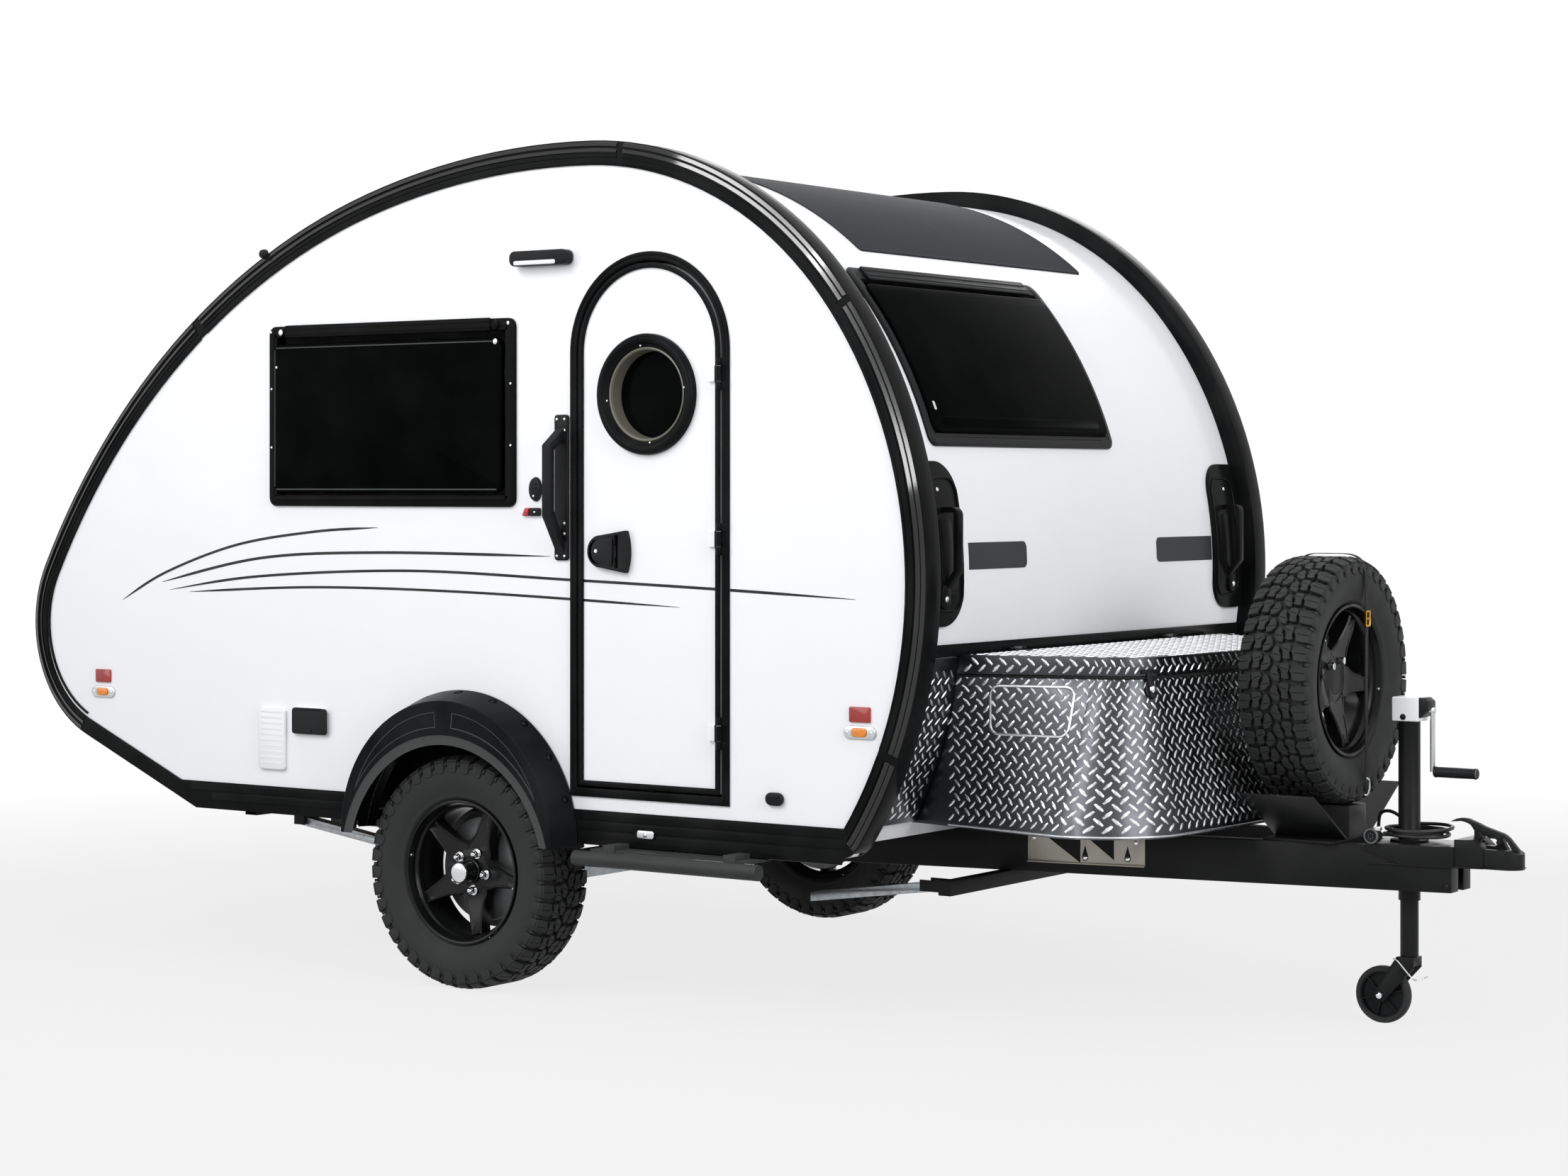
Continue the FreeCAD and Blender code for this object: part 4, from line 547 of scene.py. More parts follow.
# %% One pitch of tread
PITCHES, WRAP_R = 40, 0.338
pitch = 2 * pi * WRAP_R / PITCHES
BLOCKS = [  # along the tread and across it, in millimetres
    [(1, 62), (12, 57), (20, 63), (37, 66), (40, 84), (38, 100), (2, 100), (-1, 82)],
    [(-9, 31), (4, 26), (15, 35), (31, 33), (35, 43), (33, 56), (17, 52), (8, 55), (-7, 53)],
    [(9, 2), (24, 1), (37, 11), (42, 26), (27, 29), (13, 21), (3, 22), (-4, 11)]]
SIPES = [[(16, 68), (18, 68), (19, 98), (17, 98)], [(2, 30), (4, 30), (10, 50), (8, 50)],
    [(19, 4), (21, 4), (26, 26), (24, 26)]]
SIDE_LUGS = [[(2, 296), (15, 292), (36, 299), (39, 338), (0, 338)],
    [(42, 316), (51, 312), (51, 336), (42, 336)]]
strip = []
for flip in (1, -1):
    shift = 0 if flip > 0 else pitch * 500
    for outline, sipe in zip(BLOCKS, SIPES):
        flat = [((x + shift) / 1000, flip * y / 1000) for x, y in outline]
        block = slab(flat[::flip], 0.3275, 0.0165, "top", bevel=0.0013, steps=1)
        slit = slab([((x + shift) / 1000, flip * y / 1000) for x, y in sipe][::flip], 0.338, 0.008, "top")
        modify(block, "BOOLEAN", object=slit, operation="DIFFERENCE", solver="EXACT")
        bpy.data.objects.remove(slit)
        strip.append(block)
    for outline in SIDE_LUGS:
        flat = [((x + shift) / 1000, y / 1000) for x, y in outline]
        strip.append(slab(flat, flip * 0.0925, flip * 0.0095, bevel=0.0014, steps=1))
strip = join(*strip)
print("one pitch is", round(pitch * 1000, 1), "mm and", len(strip.data.polygons), "faces")

# %% Wrap the strip and add the carcass
modify(strip, "ARRAY", count=PITCHES, use_relative_offset=False, use_constant_offset=True,
    constant_offset_displace=(pitch, 0, 0))
for vertex in strip.data.vertices:
    x, y, z = vertex.co
    crown = 0.012 * max(0, (abs(y) - 0.066) / 0.034) ** 2 * (1 if z > 0.334 else 0)
    radius, turn = z - crown, x / WRAP_R
    vertex.co = (radius * sin(turn), y, radius * cos(turn))
half = mm((212.5, 73.5), (217.5, 76.5), (220.5, 81.2), (224.5, 83.8), (229, 83.8), (236, 87.2),
    (250, 93.8), (268, 98.5), (286, 100), (302, 98.5), (314, 94.5), (323, 88.5), (327.5, 80), (329, 50),
    (329.5, 16))
inside = mm((322, 0), (320, 70), (300, 90), (270, 93), (236, 80), (212.5, 66))
profile = half + [(r, -h) for r, h in reversed(half)] + [(r, -h) for r, h in reversed(inside)] + inside[1:]
carcass = turned(profile, steps=112)
tyre = join(carcass, strip)
complete(tyre, "tyre_pattern", tyre_rubber, angle=38)
print("tyre:", len(tyre.data.polygons), "faces")

# %% [markdown]
# ## Star wheels
# The wheel is a cast five-point star in a deep barrel, enamelled black. Its edges are chamfered, and those
# chamfers draw the bright lines that the eye reads as a star. The nuts and the cap are chromed.

# %% Barrel, star, nuts and cap
barrel = turned(mm((211.8, 82.5), (208.5, 83.8), (204, 82.2), (200.8, 74), (197.5, 60), (192.5, 54.5),
    (188.5, 48), (186.8, 20), (186.2, -56), (200, -76), (211.8, -83), (211.8, -76), (200, -70), (194, -50),
    (194, 50), (200, 70), (211.8, 76.5)), steps=96)
LEAN, STUD_CIRCLE = 115, 0.05715
ARM = ((0.03, 0.046), (0.06, 0.046), (0.078, 0.0435), (0.088, 0.0372), (0.1, 0.0318), (0.115, 0.0277),
    (0.131, 0.025), (0.15, 0.022), (0.168, 0.0192), (0.18, 0.0182), (0.1862, 0.019))


def spoke(lean):
    """One arm of the star: its section follows its width and rises towards the rim."""
    bpy.ops.object.select_all(action="DESELECT")
    bpy.ops.mesh.primitive_grid_add(x_subdivisions=10, y_subdivisions=len(ARM) - 1, size=1)
    arm = bpy.context.object
    for row, (r, half) in enumerate(ARM):
        reach = min(1, max(0, (r - 0.055) / 0.13))
        top = 0.032 + 0.019 * reach * reach * (3 - 2 * reach)
        fork = 0.005 * max(0, (r - 0.165) / 0.0212)
        section = [(-half, 0.006), (-half - 0.001, top - 0.004), (-half + 0.0025, top),
            (-half + 0.005, top), (-half + 0.0075, top - 0.0018), (0, top - 0.0022 - fork),
            (half - 0.0075, top - 0.0018), (half - 0.005, top), (half - 0.0025, top),
            (half + 0.001, top - 0.004), (half, 0.006)]
        for column, (w, y) in enumerate(section):
            arm.data.vertices[row * 11 + column].co = (r * cos(lean) - w * sin(lean), y,
                r * sin(lean) + w * cos(lean))
    shape = bmesh.new()
    shape.from_mesh(arm.data)
    bmesh.ops.holes_fill(shape, edges=shape.edges)
    bmesh.ops.recalc_face_normals(shape, faces=shape.faces)
    shape.to_mesh(arm.data)
    shape.free()
    return arm


star = join(*[spoke(radians(LEAN + 72 * arm)) for arm in range(5)])
boss = turned(mm((42.5, 34.5), (56, 33.5), (66, 30), (69, 22), (69, 4), (42.5, 4)), steps=48)
wheel = complete([star, barrel, boss], "wheel_pattern", wheel_paint, angle=30)

nuts = []
for arm in range(5):
    lean = radians(LEAN + 72 * arm)
    spot = (STUD_CIRCLE * cos(lean), 0, STUD_CIRCLE * sin(lean))
    bpy.ops.object.select_all(action="DESELECT")
    bpy.ops.mesh.primitive_cylinder_add(vertices=6, radius=0.0115, depth=0.018, rotation=(pi / 2, 0, 0),
        location=(spot[0], 0.0425, spot[2]))
    nut = bpy.context.object
    bpy.ops.object.transform_apply()
    modify(nut, "BEVEL", width=0.0022, segments=2, limit_method="ANGLE", angle_limit=radians(50))
    nuts += [nut, turned(mm((0, 58.5), (5, 57.5), (8.5, 53.5), (9.5, 50), (0, 50)), spot, "Y", 16),
        turned(rectangle(0.0105, 0.0345, 0.015, 0.0358), spot, "Y", 20)]
nuts = complete(nuts, "nut_pattern", chrome)
hub = turned(mm((0, 88.5), (29.5, 88.5), (31.8, 87), (32.5, 84), (33, 40), (35.5, 38.5), (36.5, 35),
    (0, 35)), steps=48)
hub = complete(hub, "hub_pattern", wheel_paint)
cap = turned(mm((0, 96.8), (14, 96.2), (23.5, 94.2), (28.5, 91.5), (30, 88.8), (30, 87), (0, 87)), steps=48)
cap = complete(cap, "cap_pattern", chrome)
rivets = []
for lean in (radians(169), radians(-10)):
    spot = (-0.2005 * cos(lean), 0, 0.2005 * sin(lean))
    rivets.append(turned(mm((0, 78.5), (3, 77.5), (4.6, 74.5), (4.6, 69), (0, 69)), spot, "Y", 12))
rivets = complete(rivets, "rivet_pattern", zinc)
drum = turned(mm((22.5, -80), (60, -80), (172, -83), (175.5, -79), (175.5, -72), (156, -68), (153, -26),
    (116, -18), (70, -14), (66, 1), (22.5, 1)))
drum = complete(drum, "drum_pattern", cast_grey)
print("wheel:", len(wheel.data.polygons), "faces")

# %% Fit the three wheels
def copied(source, name, centre, turn, body, stands_for=()):
    """A copy with its own mesh, turned about the upright axis and set down at a centre."""
    copy = duplicate(source, name)
    copy.location, copy.rotation_euler = centre, (0, 0, radians(turn))
    bpy.ops.object.transform_apply()
    copy.data.name = name
    if stands_for:
        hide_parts(*stands_for)
    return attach(copy, body)


for side, turn in (("right", 180), ("left", 0)):
    low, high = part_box(side + "_tyre")
    centre = (low + high) / 2
    for source, name, stands_for in ((tyre, "tyre", [side + "_tyre"]),
            (wheel, "star_wheel", [side + "_rim"]), (nuts, "wheel_nuts", []), (hub, "hub_barrel", []),
            (cap, "hub_cap", []), (rivets, "rim_rivets", []), (drum, "brake_drum", [side + "_hub"])):
        copied(source, f"{name}_{side}", centre, turn, "wheel_" + side, stands_for)
low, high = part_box("spare_tyre")
centre = (low + high) / 2
copied(tyre, "tyre_spare", centre, -90, "body", ["spare_tyre"])
copied(wheel, "star_wheel_spare", centre, -90, "body", ["spare_rim"])
copied(rivets, "rim_rivets_spare", centre, -90, "body")
spare_nuts = copied(nuts, "wheel_nuts_spare", centre, -90, "body")
alone(spare_nuts)
for vertex in spare_nuts.data.vertices:
    vertex.select = vertex.co.z < centre.z + 0.012
bpy.ops.object.mode_set(mode="EDIT")
bpy.ops.mesh.select_mode(type="VERT")
bpy.ops.mesh.delete(type="VERT")
bpy.ops.object.mode_set(mode="OBJECT")
for pattern in (tyre, wheel, nuts, hub, cap, rivets, drum):
    bpy.data.objects.remove(pattern)
print("three wheels fitted")

# %% [markdown]
# ## Edge mouldings
# A black vinyl extrusion covers the joint between each side wall and the skin. Its face carries two
# raised beads, the part that catches the light. A bead is a small section drawn along the edge, so the
# edge's line is first read from the ready-made piece. The mouldings come in lengths that butt together.

# %% Reading an edge and drawing along it
def edge_line(name, level, centre):
    """The outer edge of a node's flat face at this y, as (x, z) points that run round the centre."""
    shape = bmesh.new()
    shape.from_mesh(nodes[name].data)
    bmesh.ops.remove_doubles(shape, verts=shape.verts, dist=2e-5)
    face = {f for f in shape.faces if all(abs(v.co.y - level) < 2e-4 for v in f.verts)}
    beside = {}
    for f in face:
        for edge in f.edges:
            walls = [g for g in edge.link_faces if g not in face]
            middle = (edge.verts[0].co + edge.verts[1].co) / 2
            if walls and walls[0].normal.dot(middle - Vector((centre[0], level, centre[1]))) > 0:
                for one, other in (tuple(edge.verts), tuple(edge.verts)[::-1]):
                    beside.setdefault(one, []).append(other)
    chains, seen = [], set()
    for start in [v for v in beside if len(beside[v]) == 1] + list(beside):
        if start in seen:
            continue
        chain = [start]
        seen.add(start)
        while following := [v for v in beside[chain[-1]] if v not in seen]:
            chain.append(following[0])
            seen.add(following[0])
        chains.append([(v.co.x, v.co.z) for v in chain])
    shape.free()
    return max(chains, key=len)


def swept(path, section, view="front", closed=False):
    """Draws a section along a flat path: each section point is (distance to the left, third axis)."""
    path, section = list(path), list(section) + [section[0]]
    if closed:
        path.append(path[0])
    bpy.ops.object.select_all(action="DESELECT")
    bpy.ops.mesh.primitive_grid_add(x_subdivisions=len(section) - 1, y_subdivisions=len(path) - 1, size=1)
    piece = bpy.context.object
    points = [Vector(p) for p in path]
    for row, point in enumerate(points):
        before = points[row - 1] if row else (points[-2] if closed else point)
        after = points[row + 1] if row + 1 < len(points) else (points[1] if closed else point)
        ways = [(b - a).normalized() for a, b in ((before, point), (point, after)) if (b - a).length > 1e-7]
        middle = sum(ways, Vector((0, 0))).normalized()
        reach = 1 / max(0.5, middle.dot(ways[0]))
        left = Vector((-middle.y, middle.x)) * reach
        for column, (aside, level) in enumerate(section):
            spot = point + left * aside
            piece.data.vertices[row * len(section) + column].co = PLANES[view](spot.x, spot.y, level)
    shape = bmesh.new()
    shape.from_mesh(piece.data)
    bmesh.ops.remove_doubles(shape, verts=shape.verts, dist=1e-6)
    if not closed:
        bmesh.ops.holes_fill(shape, edges=shape.edges)
    bmesh.ops.recalc_face_normals(shape, faces=shape.faces)
    shape.to_mesh(piece.data)
    shape.free()
    return piece


def mirrored(piece, name):
    """The same piece on the other side of the trailer."""
    copy = duplicate(piece, name)
    copy.scale = (1, -1, 1)
    bpy.ops.object.transform_apply()
    edit_all()
    face_outwards()
    return copy


def both_sides(piece, name, material, stands_for="", **options):
    """Completes a piece as the right-hand one and its mirror image as the left-hand one."""
    for side, each in (("right", piece), ("left", mirrored(piece, name))):
        node = [f"{stands_for}_{side}"] if stands_for else []
        complete(each, f"{name}_{side}", material, stands_for=node, **options)


def resampled(path, step=0.02):
    """The same line with its corners kept and its long runs divided."""
    out = []
    for (ax, az), (bx, bz) in zip(path, path[1:]):
        parts = max(1, round(hypot(bx - ax, bz - az) / step))
        out += [(ax + (bx - ax) * i / parts, az + (bz - az) * i / parts) for i in range(parts)]
    return out + [path[-1]]


rim_line = edge_line("edge_trim_right", -1.0035, (-0.6, 1.3))
rim_line = [p for p in rim_line if p[1] > 0.6 or p[0] > 0.85 or p[0] < -2.1]
if rim_line[0][0] < rim_line[-1][0]:
    rim_line.reverse()
print("outer edge:", len(rim_line), "points from", rim_line[0], "to", rim_line[-1])

# %% Beads on the mouldings
FACE = -1.0035
# Each rib is a flat face 11 mm wide that tilts outwards, with a steep inner side.
RIB = [(0.0, FACE + 0.003), (0.0, FACE - 0.0004), (0.0008, FACE - 0.0011), (0.0106, FACE - 0.0047),
    (0.0114, FACE - 0.0045), (0.012, FACE - 0.0036), (0.0122, FACE + 0.003)]
BEAD = [(-0.006, FACE + 0.004), (-0.0058, FACE - 0.0012), (-0.0045, FACE - 0.0026), (0.0, FACE - 0.0031),
    (0.0045, FACE - 0.0026), (0.0058, FACE - 0.0012), (0.006, FACE + 0.004)]
lengths, inner = [], []
line = resampled(rim_line, 0.03)
travelled, marks = 0, [0.0]
for one, other in zip(line, line[1:]):
    travelled += dist(one, other)
    marks.append(travelled)
JOINTS = [0.0, 0.3, 1.62, 2.55, 4.35, travelled]
for low, high in zip(JOINTS, JOINTS[1:]):
    run = [p for p, mark in zip(line, marks) if low + 0.004 <= mark <= high - 0.004]
    for inward in (0.004, 0.0215):
        lengths.append(swept(run, [(a + inward, b) for a, b in RIB]))
    inner.append(swept(run, [(0.044 + a * 0.7, b) for a, b in BEAD]))
    inner.append(swept(run, [(0.064 + a * 0.5, b + 0.0008) for a, b in BEAD]))
trim = softened("edge_trim_right", 0.0032, 3, 40)
both_sides(join(trim, *inner), "moulding", vinyl, "edge_trim")
beads = join(*lengths)
both_sides(beads, "moulding_beads", gloss_rib, angle=14)
print("mouldings", round(travelled, 2), "m of edge,", len(beads.data.polygons), "faces of bead")

# %% Sill grooves
for side in (1, -1):
    parts = []
    for start, end in ((-0.082, 0.842), (-2.06, -0.952)):
        for low, high in ((0.5275, 0.5515), (0.499, 0.5235)):
            if start < -1:
                start = -1.64 if low > 0.52 else -1.55
            parts.append(slab(rectangle(start, low, end, high), -side * 1.003, -side * 0.003, bevel=0.0022))
    parts.append(slab(mm((-82, 455), (825, 455), (832, 496), (-82, 496)), -side * 0.9985, -side * 0.0052,
        bevel=0.003))
    complete(parts, "sill_ribs_right" if side > 0 else "sill_ribs_left", vinyl)
print("sill ribs on both sides")

# %% [markdown]
# ## Side windows
# A caravan window is one acrylic pane, thermoformed to a shallow tray and hung from a rail along its top.
# It closes on a moulded frame that is screwed into the cut-out. The pane covers most of the frame, so what
# shows is a black border, the pane's rolled edge and the hinge rail with its bright end screws.

# %% Screws and side windows
def screw(x, level, z, radius=0.006, height=0.0025, view="front"):
    """A plain domed screw head that stands out of a surface; view as for a slab."""
    out = -1 if view == "front" else 1
    axis = {"front": "Y", "side": "X", "top": "Z"}[view]
    profile = [(0, height), (radius * 0.45, height * 0.93), (radius * 0.8, height * 0.62), (radius, 0),
        (0, 0)]
    centre = {"front": (x, level, z), "side": (level, x, z), "top": (x, z, level)}[view]
    return turned([(r, out * h) for r, h in profile], centre, axis, 14)


wall = -0.9978
frame_line = soft_corners(-1.301, 1.42, -0.319, 1.972, 0.026)
border = swept(frame_line, [(0, wall), (0, wall - 0.0085), (0.0032, wall - 0.012), (0.0075, wall - 0.0137),
    (0.0225, wall - 0.0137), (0.025, wall - 0.0115), (0.0335, wall - 0.0115), (0.0345, wall - 0.008),
    (0.0345, -0.969), (0.0145, -0.969), (0.0145, wall)], closed=True)
pane = slab(soft_corners(-1.277, 1.462, -0.366, 1.916, 0.026), -0.9905, -0.0265, bevel=0.0075, steps=4)
rail = [slab(soft_corners(-1.226, 1.936, -0.404, 1.974, 0.006, 3), -1.0085, -0.011, bevel=0.0035, steps=3)]
rail += [slab(rectangle(-1.222, z, -0.408, z + 0.0055), -1.019, -0.0022, bevel=0.0011)
    for z in (1.9445, 1.96)]
rail.append(slab(soft_corners(-1.27, 1.4385, -0.352, 1.45, 0.003, 2), -1.0085, -0.0075, bevel=0.0025))
ears = [turned(mm((0, -13), (8, -12.5), (13, -9.5), (14.5, -3), (14.5, 0)), (x, -1.0085, 1.953), "Y", 24)
    for x in (-1.24, -0.388)]
screws = [screw(-1.24, -1.0215, 1.953, 0.009, 0.0015), screw(-0.341, -1.011, 1.957),
    screw(-1.29, -1.011, 1.955, 0.004), screw(-0.386, -1.0165, 1.904, 0.009, 0.003),
    screw(-1.262, -1.0165, 1.846, 0.0045)]
screws += [screw(x, -1.011, z, 0.004) for x in (-1.288, -0.332) for z in (1.6, 1.78)]
frame_black = finish("painted_frame", "#090a09", 0.3, grain=6, lift=0.05, drift=0.02, spread=0.03,
    shine=0.03)
# The rolled edge of the pane is drawn as fine grey lines, painted highlights.
ridges = [slab(outline, -1.016, -0.0022, bevel=0.0008, steps=1)
    for outline in (rectangle(-1.262, 1.903, -0.396, 1.9068), rectangle(-1.262, 1.469, -0.38, 1.4735),
    rectangle(-1.269, 1.479, -1.266, 1.899))]
both_sides(join(border, *rail, *ears), "side_window_border", frame_black, "side_window", angle=40)
both_sides(pane, "side_window_pane", tinted, angle=60)
both_sides(join(*screws), "window_screws", chrome)
both_sides(join(*ridges), "pane_ridges", painted_highlight_grey)
print("side window border", len(border.data.polygons), "faces")

# %% [markdown]
# ## Front window
# The front skin is bent to the trailer's profile, so its window is bent as well. Its parts are made flat,
# cut across so that they can bend, and then laid on the skin's curve.

# %% Laying flat pieces on the curved nose
nose_line = [p for p in rim_line if p[0] > 0.3]
SKIN_INSET = 0.055  # the skin lies this far inside the outer edge


def skin_at(z):
    """The front skin's x at a height, with the direction straight out of it."""
    for (ax, az), (bx, bz) in zip(nose_line, nose_line[1:]):
        way = Vector((bx - ax, bz - az)).normalized()
        out = Vector((way.y, -way.x)) * (1 if way.y > 0 else -1)
        a, b = Vector((ax, az)) - out * SKIN_INSET, Vector((bx, bz)) - out * SKIN_INSET
        if min(a.y, b.y) - 1e-4 <= z <= max(a.y, b.y) + 1e-4:
            share = (z - a.y) / (b.y - a.y) if abs(b.y - a.y) > 1e-9 else 0
            return a.x + (b.x - a.x) * share, out
    raise ValueError(f"no skin at height {z}")


def laid_on_nose(piece, low, high, step=0.024):
    """Cuts a flat piece across every step, then carries it to the skin: its x becomes its height off it."""
    alone(piece)
    bpy.ops.object.mode_set(mode="EDIT")
    for index in range(1, int((high - low) / step) + 1):
        bpy.ops.mesh.select_all(action="SELECT")
        bpy.ops.mesh.bisect(plane_co=(0, 0, low + index * step), plane_no=(0, 0, 1))
    bpy.ops.object.mode_set(mode="OBJECT")
    for vertex in piece.data.vertices:
        x, out = skin_at(vertex.co.z)
        lift = vertex.co.x
        vertex.co.x, vertex.co.z = x + out.x * lift, vertex.co.z + out.y * lift
    return piece


line = soft_corners(-0.82, 1.59, 0.2, 2.086, 0.03)
border = swept(line, mm((0, 0.5), (0, 7), (3, 10), (7, 11.2), (22, 11.2), (24.5, 9.2), (34, 9.2),
    (34, 0.5)), view="side", closed=True)
bars = [slab(soft_corners(-0.752, 2.048, 0.13, 2.084, 0.006, 3), 0.009, 0.0095, "side", bevel=0.0035,
    steps=3)]
bars += [slab(rectangle(-0.748, z, 0.126, z + 0.005), 0.0182, 0.002, "side", bevel=0.001)
    for z in (2.056, 2.07)]
border = laid_on_nose(join(border, *bars), 1.56, 2.1)
complete(border, "front_window_border", abs_black, stands_for=["front_window"])
pane = slab(soft_corners(-0.796, 1.624, 0.176, 2.036, 0.028), 0.003, 0.015, "side", bevel=0.0065, steps=4)
ledge = slab(soft_corners(-0.745, 1.64, 0.125, 1.668, 0.012, 4), 0.0175, 0.0016, "side", bevel=0.0014)
complete(laid_on_nose(join(pane, ledge), 1.6, 2.06), "front_window_pane", tinted)
catch = slab(soft_corners(-0.77, 1.683, -0.758, 1.708, 0.005, 4), 0.0175, 0.0035, "side", bevel=0.0015)
complete(laid_on_nose(catch, 1.66, 1.75, 0.5), "front_window_catch", chrome)
print("front window laid on the nose")

# %% [markdown]
# ## Entry door
# The door is a flat leaf with a half-round head in a frame of black vinyl. The leaf has its porthole, a
# moulded ring that clamps a thick pane, with a pale liner through the thickness of the door. The lever
# is a plain moulding with a hollow for the fingers behind its paddle.

# %% Leaf and frame
leaf = softened("entry_door", 0.0018, 2, 50)
complete(leaf, "door_leaf", gel_coat, body="door", stands_for=["entry_door"], level=True)
jambs = softened("door_frame", 0.0024, 3, 50)
DOOR_X, HEAD_Z = 0.166, 1.863
head = arc(DOOR_X, HEAD_Z, 0.282, 0, 180, 45)
frame_line = resampled([(-0.116, 0.612), *arc(-0.096, 0.612, 0.02, 180, 270, 5),
    *arc(0.428, 0.612, 0.02, 270, 360, 5), (0.448, HEAD_Z)], 0.08) + head[1:-1] + [(-0.116, HEAD_Z)]
ROUND = mm((-5, 4), (-4.8, -0.6), (-3.4, -2.2), (0, -2.9), (3.4, -2.2), (4.8, -0.6), (5, 4))
ribs = [swept(frame_line, [(a + inward, b - 1.0035) for a, b in ROUND], closed=True)
    for inward in (0.0065, 0.018)]
sill = slab(rectangle(-0.1, 0.598, 0.432, 0.6175), -1.003, -0.005, bevel=0.002)
complete([jambs, *ribs, sill], "door_frame_moulding", vinyl, angle=45, stands_for=["door_frame"])
# A bulb seal is pressed onto the rim of the leaf and black caps cover its hinge straps.
leaf_line = resampled([(-0.084, 0.624), (0.4156, 0.624), (0.4156, HEAD_Z)], 0.08)
leaf_line += arc(0.1658, HEAD_Z, 0.2498, 4, 176, 43) + [(-0.084, HEAD_Z)]
seal = swept(leaf_line, mm((-0.6, -1000), (-0.6, -1004.6), (2, -1005.7), (6.5, -1006.2), (10.8, -1005.7),
    (14.6, -1004), (14.6, -997.2)), closed=True)
straps = [slab(rectangle(0.4034, z - 0.0006, 0.4138, z + 0.0446), -0.997, -0.0132)
    for z in (0.772, 1.312, 1.772)]
sleeves = [turned(rectangle(0.007, z, 0.0076, z + 0.043), (0.42, -1.0125, 0), "Z", 24)
    for z in (0.7725, 1.3125, 1.7725)]
complete([seal, *straps, *sleeves], "door_seal", vinyl, body="door", angle=30)
print("door leaf", len(leaf.data.polygons), "faces, frame", len(jambs.data.polygons))

# %% Porthole
liner_paint = finish("pale_grey_liner", "#68675d", 0.38, grain=2.0, lift=0.02, drift=0.05, spread=0.05,
    shine=0.5)
centre = (0.161, 0, 1.741)
ring = turned(mm((172, -998), (172, -1008.5), (170, -1015), (165.5, -1020.5), (159, -1023.5),
    (152, -1023.2), (146.5, -1020), (144, -1015), (140.5, -1012), (136.5, -1010.5), (134, -1007),
    (133.5, -999), (127, -998), (150, -998)), centre, "Y", 96)
complete(ring, "porthole_ring", vinyl, body="door", stands_for=["door_window"])
liner = turned(mm((133.4, -1005), (130, -1006.2), (127, -1004), (122.5, -956), (125.8, -956),
    (125.8, -999)), centre, "Y", 96)
complete(liner, "porthole_liner", liner_paint, body="door")
glass = turned(mm((0, -963), (60, -962.8), (124.3, -961.2), (124.3, -956.2), (0, -956.2)), centre, "Y", 96)
complete(glass, "porthole_pane", tinted, body="door", angle=60)
caps = [screw(x, -1.0108, z, 0.0035, 0.0015) for x, z in arc(0.161, 1.741, 0.1385, 7, 277, 3)]
complete(caps, "porthole_screws", zinc, body="door")
print("porthole with", len(caps), "screws")

# %% Lever, catch and lamp
lever = softened("door_handle", 0.0022, 3, 40)
paddle = [(-0.036, 1.295), *arc(-0.004, 1.297, 0.034, 180, 105, 6), (0.048, 1.338), (0.046, 1.252),
    *arc(-0.004, 1.291, 0.034, 255, 180, 6)]
paddle = slab(paddle[::-1], -1.01, -0.0075, bevel=0.003, steps=3)
complete([lever, paddle], "door_lever", abs_black, body="door", angle=40, stands_for=["door_handle"])
barrel_lock = turned(mm((0, -3.5), (4.5, -3.5), (6, -2.2), (6, 0), (0, 0)), (-0.01, -1.0172, 1.296), "Y",
    20)
complete(barrel_lock, "door_lock_barrel", zinc, body="door")

assist = softened("assist_handle", 0.003, 3, 35)
pads = [slab(soft_corners(-0.17, z, -0.124, z + 0.052, 0.008, 4), -1.005, -0.0035, bevel=0.0015)
    for z in (1.27, 1.333, 1.632)]
complete([assist, *pads], "assist_handle_moulding", abs_black, angle=40, stands_for=["assist_handle"])
screws = [screw(x, -1.0086, z, 0.0042, 0.002) for x in (-0.161, -0.133)
    for z in (1.28, 1.344, 1.374, 1.642, 1.674)]
complete(screws, "assist_handle_screws", zinc)

catch = turned(mm((0, -15), (16, -14.6), (22.5, -11), (25, -4), (25, 0), (0, 0)), steps=40)
for vertex in catch.data.vertices:
    vertex.co = (vertex.co.x * 0.88 - 0.245, vertex.co.y + wall, vertex.co.z * 1.42 + 1.472)
slots = [slab(rectangle(-0.258, z, -0.232, z + 0.0045), -1.0115, -0.0025, bevel=0.001)
    for z in (1.462, 1.474, 1.486)]
tab = slab(mm((-268, 1394.5), (-226, 1394.5), (-226, 1418), (-262, 1418)), wall, -0.0125, bevel=0.003)
complete([catch, *slots, tab], "door_holdback", abs_black, angle=40)
tip = slab(mm((-292, 1394.5), (-270, 1394.5), (-264, 1418), (-281, 1418)), wall, -0.0115, bevel=0.003)
complete(tip, "holdback_tip", red_tab)
complete([screw(-0.245, -1.0115, 1.4525, 0.0042), screw(-0.243, -1.0102, 1.406, 0.0035)],
    "holdback_screws", zinc)
hood = softened("awning_lamp", 0.006, 3, 35)
lens = slab(soft_corners(-0.296, 2.1205, -0.142, 2.133, 0.005, 3), -1.0385, -0.003, bevel=0.0012)
complete(hood, "awning_lamp_hood", abs_black, angle=40, stands_for=["awning_lamp"])
complete(lens, "awning_lamp_lens", clear_lens)
print("lever, assist handle, holdback and lamp")

# %% [markdown]
# ## Stripes and side fittings
# Four thin stripes of cast vinyl film sweep along the wall and run on across the door. Each is cut as one
# long tapering ribbon, then divided at the door's gap, as a fitter does with a knife.

